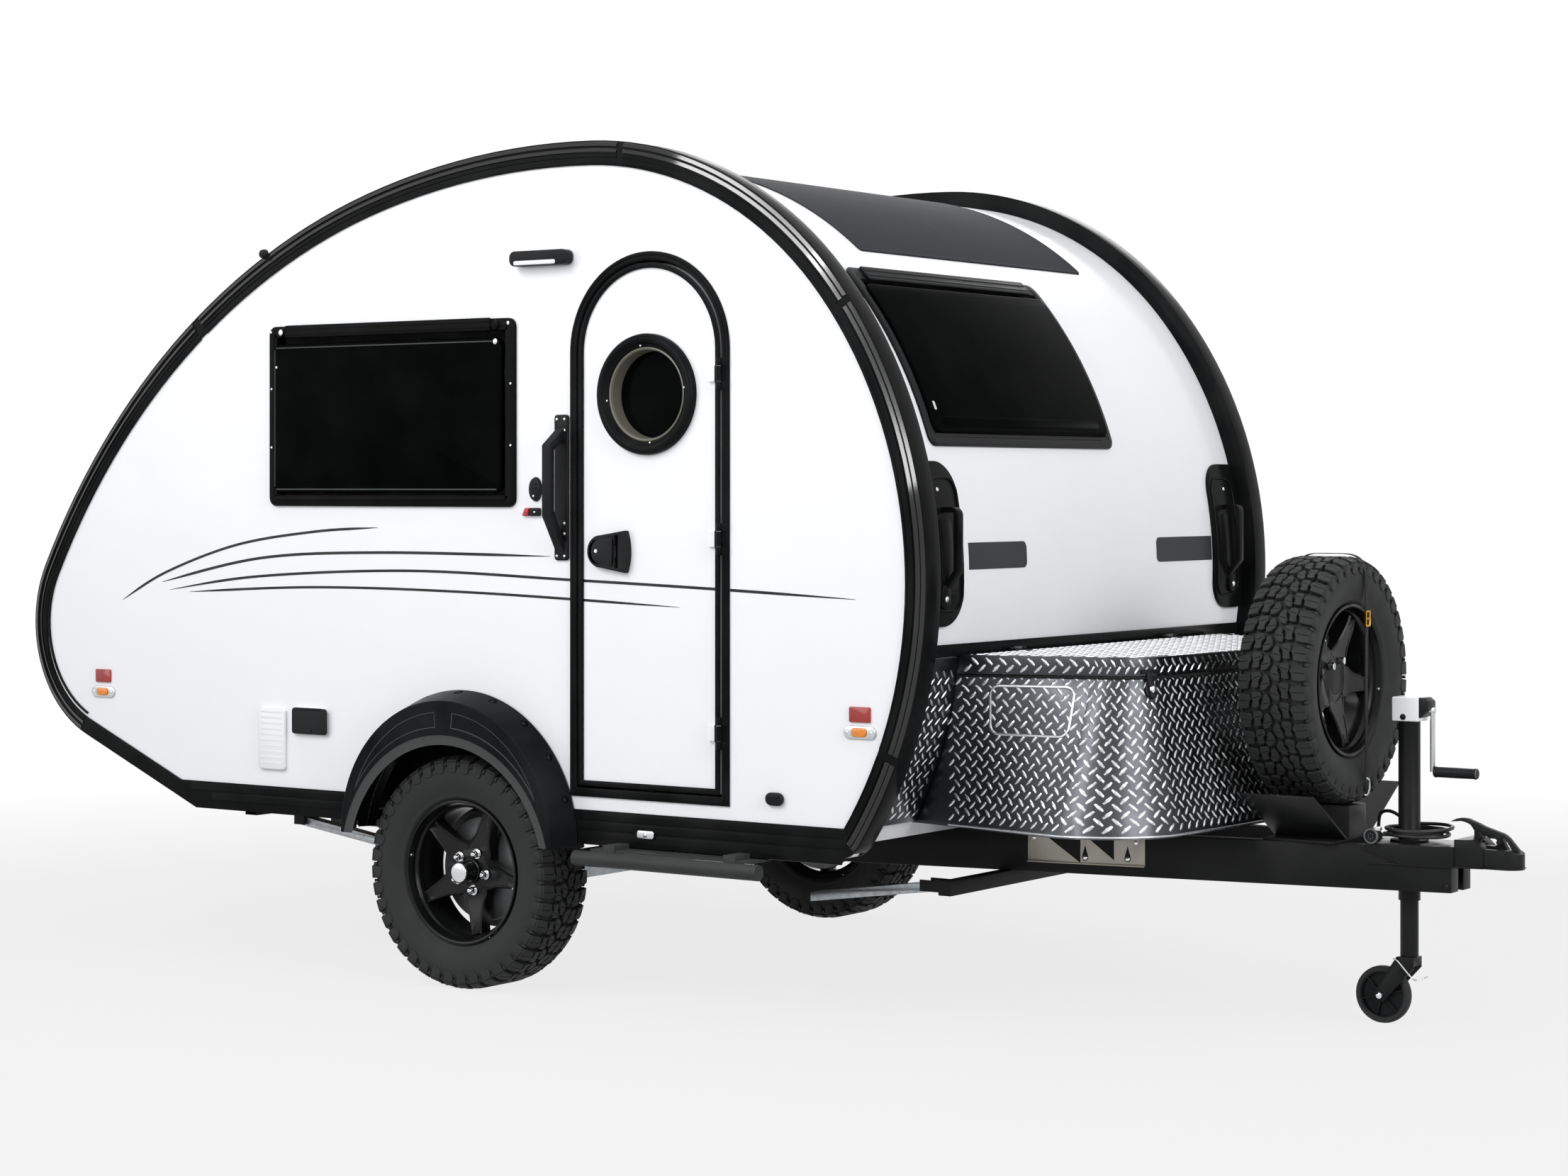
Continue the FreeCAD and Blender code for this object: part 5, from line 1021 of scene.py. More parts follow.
# %% Film stripes
def smooth_line(points, parts=10):
    """A smooth line that runs through every point (Catmull-Rom)."""
    ring = [points[0], *points, points[-1]]
    out = []
    for p0, p1, p2, p3 in zip(ring, ring[1:], ring[2:], ring[3:]):
        for step in range(parts):
            t = step / parts
            out.append(tuple(0.5 * (2 * b + (c - a) * t + (2 * a - 5 * b + 4 * c - d) * t * t
                + (3 * b - a - 3 * c + d) * t ** 3) for a, b, c, d in zip(p0, p1, p2, p3)))
    return out + [points[-1]]


def ribbon(points, width, level):
    """A flat tapering ribbon on the wall, pointed at both ends."""
    line = smooth_line(points)
    above, below = [], []
    for index, (x, z) in enumerate(line):
        share = index / (len(line) - 1)
        half = width / 2 * min(1, 7.0 * min(share, 1 - share) + 0.1)
        (ax, az), (bx, bz) = line[max(0, index - 1)], line[min(len(line) - 1, index + 1)]
        run = hypot(bx - ax, bz - az)
        above.append((x - (bz - az) / run * half, z + (bx - ax) / run * half))
        below.append((x + (bz - az) / run * half, z - (bx - ax) / run * half))
    return slab(below + above[::-1], level, -0.0005)


def kept_between(piece, low, high):
    """Cuts a piece off at two x positions and closes the cuts."""
    alone(piece)
    bpy.ops.object.mode_set(mode="EDIT")
    for x, outer in ((low, False), (high, True)):
        bpy.ops.mesh.select_all(action="SELECT")
        bpy.ops.mesh.bisect(plane_co=(x, 0, 0), plane_no=(1, 0, 0), clear_inner=not outer,
            clear_outer=outer, use_fill=True)
    bpy.ops.object.mode_set(mode="OBJECT")
    return piece


STRIPES = [(mm((-1956, 1117), (-1761, 1208), (-1450, 1298), (-1118, 1342), (-861, 1356)), 0.008),
    (mm((-1778, 1177), (-1349, 1258), (-861, 1281), (-193, 1278)), 0.0085),
    (mm((-1743, 1153), (-1349, 1202), (-736, 1228), (-107, 1211), (409, 1194), (867, 1175)), 0.008),
    (mm((-1656, 1148), (-1118, 1172), (-490, 1168), (273, 1141)), 0.0075)]
on_wall, on_far_wall, on_door = [], [], []
for points, width in STRIPES:
    on_far_wall.append(ribbon(points, width, -0.9977))
    for low, high, level, pieces in ((-3, -0.1175, -0.9977, on_wall), (-0.069, 0.4006, -0.9976, on_door),
            (0.449, 3, -0.9977, on_wall)):
        if points[0][0] < high and points[-1][0] > low:
            pieces.append(kept_between(ribbon(points, width, level), low, high))
complete(on_wall, "stripes_right", stripe_film)
complete(on_door, "stripes_door", stripe_film, body="door")
far_stripes = join(*on_far_wall)
complete(mirrored(far_stripes, "stripes_left"), "stripes_left", stripe_film)
bpy.data.objects.remove(far_stripes)
print("stripes cut", len(STRIPES))

# %% [markdown]
# ## Lamps, reflectors and ports
# They are small mouldings, most of them held by screws. The reflectors are red plates, and the side
# markers are amber lenses on bright oval bases.

# %% Markers and ports
reflectors, bases, lenses, tiny = [], [], [], []
for x, z in ((0.882, 0.865), (-2.043, 0.87)):
    reflectors.append(slab(soft_corners(x - 0.034, z - 0.021, x + 0.034, z + 0.021, 0.004, 3), wall,
        -0.006, bevel=0.0016))
for x, z in ((0.882, 0.817), (-2.043, 0.819)):
    bases.append(slab(soft_corners(x - 0.052, z - 0.018, x + 0.052, z + 0.018, 0.0175, 8), wall, -0.007,
        bevel=0.0028, steps=3))
    lenses.append(slab(soft_corners(x - 0.024, z - 0.0125, x + 0.024, z + 0.0125, 0.01, 6), wall - 0.0065,
        -0.006, bevel=0.0035, steps=3))
    tiny += [screw(x + way * 0.039, wall - 0.0066, z, 0.0045, 0.002) for way in (-1, 1)]
both_sides(join(*reflectors), "side_reflectors", red_lens)
both_sides(join(*bases), "marker_bases", zinc)
both_sides(join(*lenses), "marker_lenses", amber_lens)
both_sides(join(*tiny), "marker_screws", chrome)
ports = softened("service_ports", 0.0022, 2, 40)
slats = [slab(rectangle(-1.337, z, -1.245, z + 0.011), -1.006, -0.0036, bevel=0.0016)
    for z in [0.622 + 0.0175 * step for step in range(10)]]
rims = [slab(soft_corners(-1.347, 0.607, -1.235, 0.797, 0.01, 4), -1.004, -0.004, bevel=0.002)]
complete([ports, *slats, *rims], "port_mouldings", white_moulding, stands_for=["service_ports"])
cover = slab(soft_corners(0.5755, 0.604, 0.6325, 0.64, 0.0175, 7), wall, -0.015, bevel=0.005, steps=3)
brow = slab(soft_corners(0.585, 0.625, 0.623, 0.633, 0.0035, 3), -1.012, -0.005, bevel=0.002)
complete([cover, brow], "water_inlet_cover", abs_black)
flap = slab(soft_corners(-1.202, 0.722, -1.057, 0.802, 0.01, 4), -1.0085, -0.0045, bevel=0.0025, steps=3)
lip = slab(soft_corners(-1.15, 0.726, -1.12, 0.738, 0.003, 3), -1.012, -0.004, bevel=0.0015)
knuckle = slab(rectangle(-1.19, 0.795, -1.08, 0.803), -1.0085, -0.007, bevel=0.003)
complete([flap, lip, knuckle], "inlet_flap", abs_black)
complete([screw(x, -1.0079, z, 0.0038, 0.0015) for x in (-1.341, -1.241) for z in (0.613, 0.791)],
    "port_screws", zinc)
lamp = [slab(soft_corners(0.131, 0.484, 0.191, 0.508, 0.008, 5), -1.005, -0.006, bevel=0.0025, steps=3),
    screw(0.161, -1.0108, 0.496, 0.008, 0.003)]
complete(lamp, "sill_lamp", zinc)
nub = turned(mm((0, -20), (8, -19), (13, -14), (15, -4), (15, 0), (0, 0)), (-1.328, wall, 2.199), "Y", 28)
complete(nub, "wall_nub", abs_black)
print("fittings on the walls")

# %% [markdown]
# ## The storage tub
# The tub is folded and welded from aluminium tread plate. The sheet between its bars is painted dark, a
# painted reflection, and the bars catch the light. One bar is modelled, laid out flat in two crossing
# directions as the rolling mill does it, and the flat sheet is then bent onto the tub's own surface.

# %% Sheet, bars and how they are bent
# The ground between the bars is painted dark as a painted reflection; the bars keep the alloy's bright
# grey.
sheet_painted_reflection = finish("tread_plate_painted_reflection", "#47494c", 0.34, metal=1.0, grain=2.2, lift=0.05, drift=0.35,
    drift_mm=70, second="#2c2e30", spread=0.08)
bar_bright = finish("rolled_bars", "#cfd1d3", 0.27, metal=1.0, grain=1.4, lift=0.02, drift=0.3,
    drift_mm=40, second="#9fa2a5", spread=0.07)
PITCH = 0.0375


def surface(name):
    """A search tree of a node's skin, for laying things on it."""
    shape = bmesh.new()
    shape.from_mesh(nodes[name].data)
    tree = BVHTree.FromBMesh(shape)
    shape.free()
    return tree


tub_skin, lid_skin, corner_skin = surface("tub_body"), surface("tub_lid"), surface("corner_panels")
outline = []
for step in range(-230, 231):
    way = Vector((cos(radians(step / 2)), sin(radians(step / 2)), 0))
    spot = tub_skin.ray_cast(Vector((1.1, 0, 0.76)) + way * 1.6, -way)[0]
    if spot and spot.x > 0.97:
        outline.append(spot.xy)
reach = [0.0]
for one, other in zip(outline, outline[1:]):
    reach.append(reach[-1] + (other - one).length)
middle = reach[-1] / 2
reach = [value - middle for value in reach]


def around(u):
    """The place on the tub's plan at a distance from its middle, with the direction out of it."""
    index = max(1, min(len(reach) - 1, next((i for i, r in enumerate(reach) if r >= u), len(reach) - 1)))
    share = (u - reach[index - 1]) / (reach[index] - reach[index - 1])
    wide = outline[min(len(outline) - 1, index + 4)] - outline[max(0, index - 5)]
    out = Vector((wide.y, -wide.x, 0)).normalized()
    return outline[index - 1].lerp(outline[index], share).to_3d(), out


def u_near(x, y):
    """The distance round the tub at the point of its plan nearest to this one."""
    return reach[min(range(len(outline)), key=lambda i: (outline[i] - Vector((x, y))).length)]


def on_side(skin):
    """A function that lays (distance round, height, lift) on this skin."""
    def place(u, z, lift):
        if abs(u) > middle:
            return None
        base, out = around(u)
        spot, normal = skin.ray_cast(Vector((base.x, base.y, z)) + out * 0.3, -out, 0.6)[:2]
        return spot + normal * lift if spot and normal.dot(out) > 0.5 else None
    return place


def on_top(x, y, lift):
    """A point on the lid's flat top, or None beside it."""
    spot, normal = lid_skin.ray_cast(Vector((x, y, 1.3)), Vector((0, 0, -1)), 0.6)[:2]
    return Vector((x, y, spot.z + lift)) if spot and 1.018 < spot.z < 1.022 else None


def on_corner(y, z, lift):
    """A point on the front of a corner panel, or None beside it."""
    spot, normal = corner_skin.ray_cast(Vector((1.5, y, z)), Vector((-1, 0, 0)), 0.7)[:2]
    return spot + normal * lift if spot and normal.x > 0.5 else None


def bent(piece, place, per=None):
    """Moves every vertex of a flat piece onto a surface; bars that miss it are taken out whole."""
    lost = set()
    for index, vertex in enumerate(piece.data.vertices):
        spot = place(*vertex.co)
        if spot is None:
            lost.add(index // per if per else index)
        else:
            vertex.co = spot
    if lost:
        shape = bmesh.new()
        shape.from_mesh(piece.data)
        shape.verts.ensure_lookup_table()
        gone = [v for v in shape.verts if (v.index // per if per else v.index) in lost]
        bmesh.ops.delete(shape, geom=gone, context="VERTS")
        shape.to_mesh(piece.data)
        shape.free()
    return piece


print("tub outline", round(reach[-1] * 2, 3), "m round")

# %% One bar, then whole sheets of them
bars = []
for turn, shift in ((45, 0), (-45, PITCH / 2)):
    bpy.ops.object.select_all(action="DESELECT")
    bpy.ops.mesh.primitive_circle_add(vertices=6, radius=0.0172, fill_type="NGON")
    bar = bpy.context.object
    edit_all()
    bpy.ops.transform.resize(value=(1, 0.33, 1))
    bpy.ops.mesh.extrude_region_move(TRANSFORM_OT_translate={"value": (0, 0, 0.0026)})
    bpy.ops.transform.resize(value=(0.52, 0.3, 1))
    face_outwards()
    bar.rotation_euler = (0, 0, radians(turn))
    bar.location = (shift, shift, -0.0006)
    bpy.ops.object.transform_apply()
    bars.append(bar)
pair = join(*bars)


def bar_sheet(name, low, high, place):
    """A sheet of bars between two corners of its flat plan, bent onto its surface."""
    sheet = duplicate(pair, name)
    for axis in (0, 1):
        step = [0, 0, 0]
        step[axis] = PITCH
        modify(sheet, "ARRAY", count=int((high[axis] - low[axis]) / PITCH), use_relative_offset=False,
            use_constant_offset=True, constant_offset_displace=step)
    for vertex in sheet.data.vertices:
        vertex.co.x += low[0] + PITCH / 2
        vertex.co.y += low[1] + PITCH / 2
    return bent(sheet, place, 12)


half = reach[-1]
tub_bars = bar_sheet("tub_bars", (-half, 0.553), (half, 0.966), on_side(tub_skin))
complete(tub_bars, "tub_bars", bar_bright)
lid_bars = join(bar_sheet("lid_top", (0.95, -0.76), (1.57, 0.76), on_top),
    bar_sheet("lid_rim", (-half, 0.9668), (half, 1.0055), on_side(lid_skin)))
complete(lid_bars, "lid_bars", bar_bright, body="lid")
corner_bars = join(bar_sheet("corner_a", (-0.99, 0.556), (-0.6, 1.0), on_corner),
    bar_sheet("corner_b", (0.6, 0.556), (0.99, 1.0), on_corner))
complete(corner_bars, "corner_bars", bar_bright)
bpy.data.objects.remove(pair)
complete(softened("tub_body", 0.0035, 3, 25), "tub_sheet", sheet_painted_reflection, stands_for=["tub_body"])
complete(softened("tub_lid", 0.003, 3, 35), "lid_sheet", sheet_painted_reflection, body="lid", stands_for=["tub_lid"])
complete(softened("corner_panels", 0.001, 2, 35), "corner_sheets", sheet_painted_reflection, stands_for=["corner_panels"])
print("bars", [len(piece.data.vertices) // 12 for piece in (tub_bars, lid_bars, corner_bars)])

# %% Seal, edge, pressed rectangle and latch
def laid_line(points, radius, closed=False):
    """A round bead along points on the tub's side."""
    return tube([side_of_tub(*point) for point in points], radius, closed)


side_of_tub = on_side(tub_skin)
span = [-middle + 0.01 + (2 * middle - 0.02) * step / 110 for step in range(111)]
seal = laid_line([(u, 0.9645, 0.002) for u in span if side_of_tub(u, 0.9645, 0)], 0.0046)
complete(seal, "lid_seal", gasket)
hem = laid_line([(u, 0.5505, 0.0006) for u in span if side_of_tub(u, 0.5505, 0)], 0.003)
left, right = u_near(1.118, -0.74), u_near(1.352, -0.7)
pressing = [(u, z, 0.0004) for u, z in resampled(soft_corners(min(left, right), 0.806, max(left, right),
    0.938, 0.026, 6), 0.02)]
pressing = laid_line(pressing, 0.0042, closed=True)
complete([hem, pressing], "tub_hem", machined)
at = u_near(1.53, -0.565)
latch = [slab(soft_corners(at - 0.034, 0.976, at + 0.034, 0.988, 0.004, 3), 0.007, 0.008, "top",
        bevel=0.002),
    slab(soft_corners(at - 0.012, 0.908, at + 0.012, 0.984, 0.006, 3), 0.001, 0.012, "top", bevel=0.0025,
        steps=3),
    slab(soft_corners(at - 0.022, 0.915, at + 0.022, 0.943, 0.006, 3), 0.0002, 0.006, "top", bevel=0.002)]
latch = bent(join(*latch), side_of_tub)
complete(latch, "lid_latch", abs_black, angle=40)
spot = side_of_tub(at, 0.9315, 0.0135)
pivot = turned(mm((0, 5.5), (6, 5), (9.5, 2.5), (10.5, -2), (0, -2)), (0, 0, 0), "X", 20)
out = around(at)[1]
pivot.rotation_euler = (0, 0, atan2(out.y, out.x))
pivot.location = spot
complete(pivot, "latch_pivot", chrome)
print("latch at", [round(c, 3) for c in spot])

# %% [markdown]
# ## Grab handles and badges of film
# Each grab handle is a glossy moulding with a dished top and a D grip over a recess. Two plain graphite
# bars of film run inwards from the handles.

# %% Grab handles
for side, sign in (("right", -1), ("left", 1)):
    handle = softened("grab_handle_" + side, width=0.0055, steps=4, angle=40)
    line = soft_corners(0.752, 1.14, 0.896, 1.505, 0.046, 8)
    rim = swept([(sign * y, z) for y, z in line][::1 if sign > 0 else -1],
        mm((0, 10), (0, 15.5), (2, 17.5), (4.5, 17.5), (6.5, 15.5), (6.5, 10)), view="side", closed=True)
    panel = slab(soft_corners(0.8, 1.215, 0.862, 1.395, 0.02, 6), 0.011, 0.004, "side", bevel=0.0018)
    boss = slab(soft_corners(0.826, 1.15, 0.872, 1.215, 0.02, 6), 0.011, 0.012, "side", bevel=0.005,
        steps=3)
    for piece in (panel, boss):
        for vertex in piece.data.vertices:
            vertex.co.y *= sign
        if sign < 0:
            piece.data.flip_normals()
    laid = laid_on_nose(join(rim, panel, boss), 1.1, 1.54)
    complete([handle, laid], "grab_moulding_" + side, vinyl, angle=42, stands_for=["grab_handle_" + side])
    dots = [screw(sign * 0.849, 0.0228, 1.176, 0.0085, 0.004, "side"),
        screw(sign * 0.845, 0.0115, 1.47, 0.0065, 0.003, "side")]
    complete(laid_on_nose(join(*dots), 1.16, 1.5, 0.9), "grab_screws_" + side, zinc)
bars = [slab(outline, 0.0006, 0.0014, "side") for outline in (
    [(-0.7, 1.252), *arc(-0.408, 1.27, 0.018, 270, 360, 5), *arc(-0.408, 1.308, 0.018, 0, 90, 5),
        (-0.7, 1.326)],
    [(0.74, 1.252), (0.74, 1.326), *arc(0.4, 1.308, 0.018, 90, 180, 5),
        *arc(0.4, 1.27, 0.018, 180, 270, 5)])]
complete(laid_on_nose(join(*bars), 1.25, 1.33), "nose_bars", grey_film)
strip = softened("nose_strip", 0.0022, 2, 40)
complete(strip, "nose_strip_moulding", vinyl, stands_for=["nose_strip"])
print("grab handles and bars")

# %% [markdown]
# ## The drawbar's fittings
# A pale bracket plate with pressed windows is bolted to the drawbar's outer face. Its windows are cut with
# Boolean modifiers, the way a press cuts them. The jack has a white gear box, a plated crank with a black
# grip, and a sprung wire that locks its fork.

# %% Bracket plate on the drawbar
def carved(piece, *cutters):
    """Cuts other solids out of a piece and removes them."""
    for cutter in cutters:
        modify(piece, "BOOLEAN", object=cutter, operation="DIFFERENCE", solver="EXACT")
        bpy.data.objects.remove(cutter)
    return piece


def drop(s, z, half, tall):
    """A teardrop slot: round below, pointed above."""
    return arc(s, z, half, 180, 360, 8) + [(s + half * 0.8, z + half), (s, z + tall),
        (s - half * 0.8, z + half)]


plate_paint = finish("zinc_nickel_plate", "#aaa69c", 0.4, metal=0.55, grain=2.0, lift=0.03, drift=0.15,
    drift_mm=60, second="#8f8b82", spread=0.06)
RAIL_TURN = atan2(0.0613, 0.3261)  # the drawbar's slant: 61.3 mm sideways in 326.1 mm
plate_at = Vector((0.99, -0.2908, 0))


def on_rail(piece):
    """Carries a piece drawn along a straight line onto the drawbar's slanting face."""
    piece.rotation_euler, piece.location = (0, 0, RAIL_TURN), plate_at
    return piece


bracket = slab(rectangle(0, 0.409, 0.349, 0.499), 0.0, -0.005, bevel=0.0012)
cutters = [slab(outline, 0.02, -0.04) for outline in (mm((46, 491), (158, 412), (158, 491)),
    mm((171, 491), (258, 424), (258, 491)), drop(0.172, 0.428, 0.0095, 0.036),
    drop(0.298, 0.43, 0.0095, 0.036))]
bracket = carved(bracket, *cutters)
flange = slab(rectangle(0, 0.4085, 0.349, 0.4125), -0.0045, -0.007, bevel=0.001)
complete(on_rail(join(bracket, flange)), "rail_bracket", plate_paint, angle=30)
heads = [turned(mm((0, -10), (4, -9.6), (7, -7.4), (8.2, -4), (8.2, 0), (0, 0)), (s, 0, z), "Y", 20)
    for s, z in ((0.172, 0.4275), (0.298, 0.4295))]
heads += [screw(s, -0.005, z, 0.006, 0.0025) for s, z in ((0.018, 0.478), (0.322, 0.476))]
complete(on_rail(join(*heads)), "bracket_bolts", chrome)

# %% Rails, coupler and carrier with rounded edges
for name, width in (("chassis_rail_right", 0.005), ("chassis_rail_left", 0.005), ("coupler", 0.003),
        ("spare_carrier", 0.0018), ("cross_members", 0.003), ("stabiliser_brackets", 0.0015)):
    complete(softened(name, width, 3, 40), name + "_steel", powder_coat, stands_for=[name])
lever = carved(softened("coupler_latch", 0.0012, 2, 40),
    slab(soft_corners(2.247, 0.5095, 2.288, 0.529, 0.008, 5), 0.03, -0.06),
    slab(mm((2298.5, 536), (2310.5, 530), (2333, 496), (2320, 496)), 0.03, -0.06))
complete(lever, "coupler_latch_steel", powder_coat, angle=30, stands_for=["coupler_latch"])
lip = mm((1955, -114.5), (2205, -65.5), (2290, -50), (2354, -32))
edge = slab([*lip, *[(x, y + 0.01) for x, y in reversed(lip)]], 0.45, 0.0035, "top", bevel=0.0012)
far_edge = mirrored(edge, "lip_far")
pin = turned(mm((0, -22), (6, -22), (7.5, -19), (7.5, 19), (6, 22), (0, 22)), (2.296, 0, 0.52), "Y", 20)
knob = turned(mm((0, -15), (9, -15), (11, -13), (11, 13), (9, 15), (0, 15)), (2.236, 0, 0.534), "Y", 24)
complete([edge, far_edge, pin, knob], "coupler_lips", powder_coat, angle=30)
bolt = turned(mm((0, -9), (5, -9), (8.5, -6.5), (9.5, 0), (0, 0)), (2.168, -0.069, 0.398), "Y", 6)
complete(bolt, "coupler_bolts", powder_coat, angle=20)
print("drawbar steel softened")

# %% Jack
tube_soft = softened("jack_tube", 0.0016, 2, 40)
sleeve = turned(mm((30.2, 0), (33.5, 0.5), (33.5, 28.5), (30.2, 29)), (2.03, 0, 0.372), "Z", 40)
complete([tube_soft, sleeve], "jack_tube_steel", powder_coat, angle=40, stands_for=["jack_tube"])
box = slab(soft_corners(1.993, 0.837, 2.07, 0.9035, 0.004, 3), 0.0345, -0.069, bevel=0.0028, steps=3)
complete(box, "jack_gear_box", white_moulding, angle=40)
cheek = slab(mm((2066, 845), (2078, 850), (2095, 870), (2095, 892), (2082, 903), (2066, 903)), 0.029,
    -0.058, bevel=0.003)
complete(cheek, "jack_cheek", powder_coat, angle=40)
plug_dot = turned(mm((0, -3), (6, -2.8), (8.5, -1), (8.5, 0), (0, 0)), (2.026, -0.0345, 0.849), "Y", 18)
complete(plug_dot, "gear_box_plug", abs_black)
crank = softened("jack_crank", 0.0018, 2, 40)
complete(crank, "jack_crank_steel", zinc, angle=40, stands_for=["jack_crank"])
# The CAD crank's handle is all that lies beyond 2.12 m; the grip is centred on it.
grip_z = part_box("jack_crank")[0].z + 0.014
grip = mm((0, 2103.5), (12.5, 2103.5), (14.6, 2106), (14.6, 2110), (13.8, 2113), (14.1, 2165),
    (13.8, 2218), (14.6, 2221), (14.6, 2225), (12.5, 2228), (0, 2228))
grip_end = [v.co.y for v in nodes["jack_crank"].data.vertices if v.co.x > 2.12]
grip = turned([(r * 1.04, x) for r, x in grip], (0, (min(grip_end) + max(grip_end)) / 2, grip_z), "X", 32)
complete(grip, "crank_grip", abs_black, angle=40)
complete(softened("jack_leg", 0.001, 2, 40), "jack_leg_steel", powder_coat, body="jack_inner",
    stands_for=["jack_leg"])
complete(softened("jack_fork", 0.003, 3, 40), "jack_fork_steel", powder_coat, body="jack_swivel",
    stands_for=["jack_fork"])
bail = tube(mm((1996, -31.5, 183.5), (2003, -33, 184), (2012, -33, 177.5), (2046, -33, 140),
    (2059, -33, 129), (2072, -33, 131), (2092, -33, 140.5), (2093.5, -20, 142)), 0.0021)
complete(bail, "fork_bail", chrome, body="jack_swivel")
low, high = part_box("jockey_wheel")
hub_at = ((low.x + high.x) / 2, 0, (low.z + high.z) / 2)
tread = turned(mm((65.5, -15), (73.5, -16), (77.8, -12), (79, -4), (79, 4), (77.8, 12), (73.5, 16),
    (65.5, 15), (64, 0)), hub_at)
complete(tread, "jockey_tread", tyre_rubber, body="jockey", angle=50, stands_for=["jockey_wheel"])
disc = [turned(mm((14, -17.5), (19, -16.5), (20, -5), (60, -3.5), (61, -12), (66.5, -14), (66.5, 14),
    (61, 12), (60, 3.5), (20, 5), (19, 16.5), (14, 17.5)), hub_at)]
for step in range(6):
    lean = radians(15 + 60 * step)
    out, hub_middle = Vector((cos(lean), sin(lean))), Vector((hub_at[0], hub_at[2]))
    across = Vector((out.y, -out.x)) * 0.0022
    corners = [hub_middle + out * r + across * way for r, way in ((0.0185, 1), (0.0615, 1), (0.0615, -1),
        (0.0185, -1))]
    disc.append(slab(corners, 0.0125, -0.025, bevel=0.0008))
complete(disc, "jockey_hub", abs_black, body="jockey")
nut = turned(mm((0, -8.5), (5, -8), (8.5, -5.5), (9.5, 0), (0, 0)), (hub_at[0], -0.028, hub_at[2]), "Y", 24)
complete(nut, "jockey_axle_nut", chrome, body="jack_swivel")
print("jack dressed")

# %% Strap, hook, cable plug
strap_path = smooth_line(mm((1666.5, 760), (1665, 1000), (1666, 1180), (1674, 1255), (1705, 1288),
    (1775, 1292.5), (1845, 1288), (1876, 1255), (1883, 1180), (1882, 950), (1883, 668)), 6)
strap = swept(strap_path, rectangle(-0.001, 0.034, 0.001, 0.053))
complete(strap, "spare_strap", webbing, angle=30)
buckle = swept(soft_corners(0.028, 1.09, 0.059, 1.135, 0.004, 3),
    mm((0, 1883), (0, 1888), (4, 1889), (6, 1887), (6, 1883)), view="side", closed=True)
tongue = turned(rectangle(0, -0.014, 0.0026, 0.014), (1.8865, 0.0435, 1.112), "Y", 12)
complete([buckle, tongue], "strap_buckle", brass)
hook = tube(mm((1883.5, 36, 668), (1884, 51, 668), (1884, 60, 655), (1883.5, 59, 632), (1878, 53, 616),
    (1872, 48, 622)), 0.0032)
complete(hook, "strap_hook", zinc, angle=50)
plug_low, plug_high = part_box("cable_plug")
plug_mid = (plug_low + plug_high) / 2
complete(softened("cable_plug", 0.0012, 2, 40), "plug_body", abs_black, stands_for=["cable_plug"])
rim_r = (plug_high.z - plug_low.z) / 2
rim = turned([(rim_r - 0.0045, -0.0012), (rim_r - 0.0008, -0.0012), (rim_r + 0.0004, 0.0),
    (rim_r + 0.0004, 0.006), (rim_r - 0.0008, 0.0068), (rim_r - 0.0045, 0.006)],
    (plug_mid.x, plug_low.y, plug_mid.z), "Y", 40)
pins = [turned(mm((0, -1), (1.6, -0.8), (2, 2), (0, 2)), (x, plug_low.y, z), "Y", 12)
    for x, z in arc(plug_mid.x, plug_mid.z, 0.0075, 30, 330, 5)]
lug = slab(soft_corners(1.982, 0.543, 2.0, 0.554, 0.003, 3), plug_low.y + 0.001, 0.012, bevel=0.0015)
complete([rim, *pins], "plug_rim", cast_grey)
complete(lug, "plug_lug", chrome)
print("plug", [round(c, 3) for c in plug_mid])

# %% [markdown]
# ## Flares, step and underside
# The flares are thermoformed and held by bolts that sit in small pockets along their crown. The step is
# folded from punched sheet. The stabilisers, the axle and the rear lamps get rounded edges.

# %% Flares
AXLE_X, FLARE_Z, LIP_Z, BOLT_R = -0.517, 0.451, 0.352, 0.4235
flare = softened("fender_right", 0.006, 4, 40)
# Two shallow panels are pressed into the face, on both sides of its middle.
over = arc(0, FLARE_Z, 0.371, 17, 85, 17)
under = [(x, z) for x, z in arc(0, 0.3725, 0.4005, 86, 30, 14) if x < 0.35]
lines = []
# Grey lines drawn round each panel are painted highlights along its edges.
for way in (1, -1):
    panel = [(AXLE_X + way * x, z) for x, z in over + under][::way]
    carved(flare, slab(panel, -1.0955, -0.006))
    lines.append(swept(panel, mm((0.5, -1095), (1.2, -1097.6), (3.2, -1097.6), (4.2, -1095)), closed=True))
lines = join(*lines)
# The inner edge is rolled: a slanting band, painted lighter than the face as a painted highlight.
band = mm((371, -1094), (399.5, -1096.2), (401.5, -1099), (371, -1099))
carved(flare, turned(band, (AXLE_X, 0, LIP_Z - 0.0005), "Y", 96))
pockets, bolts = [], []
for lean in range(18, 163, 18):
    for profile, group in ((mm((0, -4.5), (13, -4.5), (15, 12), (0, 12)), pockets),
            (mm((0, 1), (3.5, 0.5), (6.2, -1.8), (6.5, -5), (0, -5)), bolts)):
        made = turned(profile, (0, 0, 0), "Z", 24)
        made.rotation_euler = (0, radians(90 - lean), 0)
        made.location = (AXLE_X + BOLT_R * cos(radians(lean)), -1.026,
            FLARE_Z + BOLT_R * sin(radians(lean)))
        alone(made)
        bpy.ops.object.transform_apply()
        group.append(made)
carved(flare, *pockets)
both_sides(flare, "flare", flare_plastic, "fender", level=True)
# Faces near the lip, the rolled band among them, take the grey as a painted highlight.
for piece in (flare, bpy.data.objects["flare_left"]):
    piece.data.materials.append(painted_highlight_grey)
    for polygon in piece.data.polygons:
        corners = [piece.data.vertices[i].co for i in polygon.vertices]
        if all(hypot(c.x - AXLE_X, c.z - LIP_Z) < 0.4025 and abs(c.y) > 1.093 for c in corners):
            polygon.material_index = 1
both_sides(join(*bolts), "flare_bolts", powder_coat)
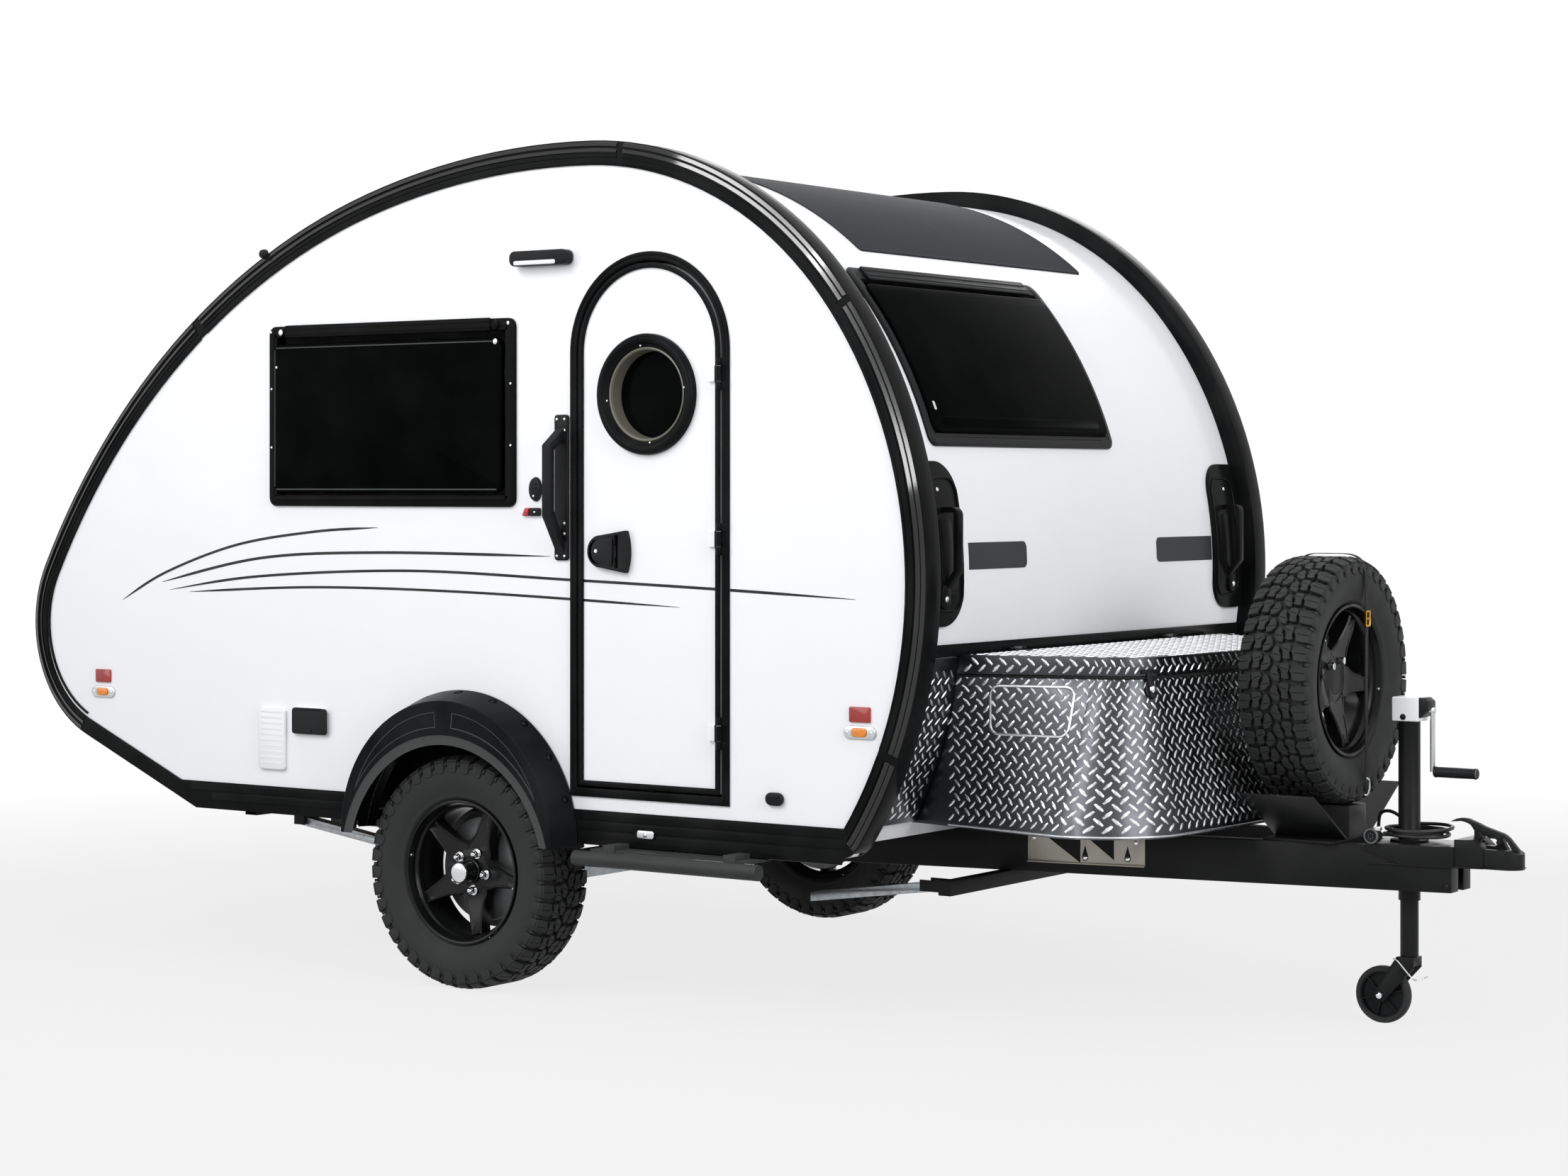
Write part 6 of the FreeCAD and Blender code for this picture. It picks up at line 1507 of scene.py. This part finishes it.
# A black strip covers the cut edge of the wall behind the flare, and a thin black plate covers the wall
# inside the flare's hollow.
path = arc(AXLE_X, 0.4, 0.3918, 8, 172, 41)
liner = swept(path, mm((0, -997.3), (0, -960), (1.8, -960), (1.8, -997.3)))
over = arc(AXLE_X, FLARE_Z, 0.4222, 0, 180, 45)
back = slab(over + path[::-1], -0.998, -0.0014)
both_sides(join(liner, back), "arch_liner", vinyl)
both_sides(lines, "flare_lines", painted_highlight_grey)
print("flares", len(flare.data.polygons), "faces each, with", len(pockets), "bolts")

# %% Step
step_low, step_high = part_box("side_step")
step = softened("side_step", 0.0025, 3, 40)
step_paint = finish("grey_powder_coat", "#343535", 0.42, grain=3, lift=0.08, drift=0.06, spread=0.05,
    shine=0.1)
complete(step, "side_step_steel", step_paint, angle=40, stands_for=["side_step"])
studs = []
for row in range(5):
    for column in range(24):
        x = step_low.x + 0.03 + column * 0.0255 + (0.0127 if row % 2 else 0)
        y = -0.99 + row * 0.0255
        if x < step_high.x - 0.02:
            studs.append(turned(mm((3.5, 0), (5, 2.6), (6.6, 3), (8.5, 0), (3.5, 0)), (x, y, 0.453), "Z",
                10))
print("step from", [round(c, 3) for c in step_low], "to", [round(c, 3) for c in step_high])
complete(studs, "step_studs", powder_coat, angle=50)

# %% Underside and rear
for corner in ("front_right", "front_left", "rear_right", "rear_left"):
    name = "stabiliser_" + corner
    complete(softened(name, 0.0015, 2, 40), name + "_leg", galvanised, body="stay_" + corner,
        stands_for=[name])
complete(softened("axle", 0.003, 3, 40), "axle_beam", galvanised, stands_for=["axle"])
complete(softened("tail_lamps", 0.006, 4, 40), "tail_lamp_lenses", red_lens, stands_for=["tail_lamps"])
print("underside softened")

# %% Finish
curve.bevel_depth = 0
line = [tuple(v.co) for v in cable.evaluated_get(bpy.context.evaluated_depsgraph_get()).to_mesh().vertices]
curve.bevel_depth = CABLE / 2
alone(cable)
bpy.ops.object.convert(target="MESH")
for piece in bpy.data.objects:
    if piece.type == "MESH":
        piece.data.update()
        piece.update_tag()
bpy.context.view_layer.update()
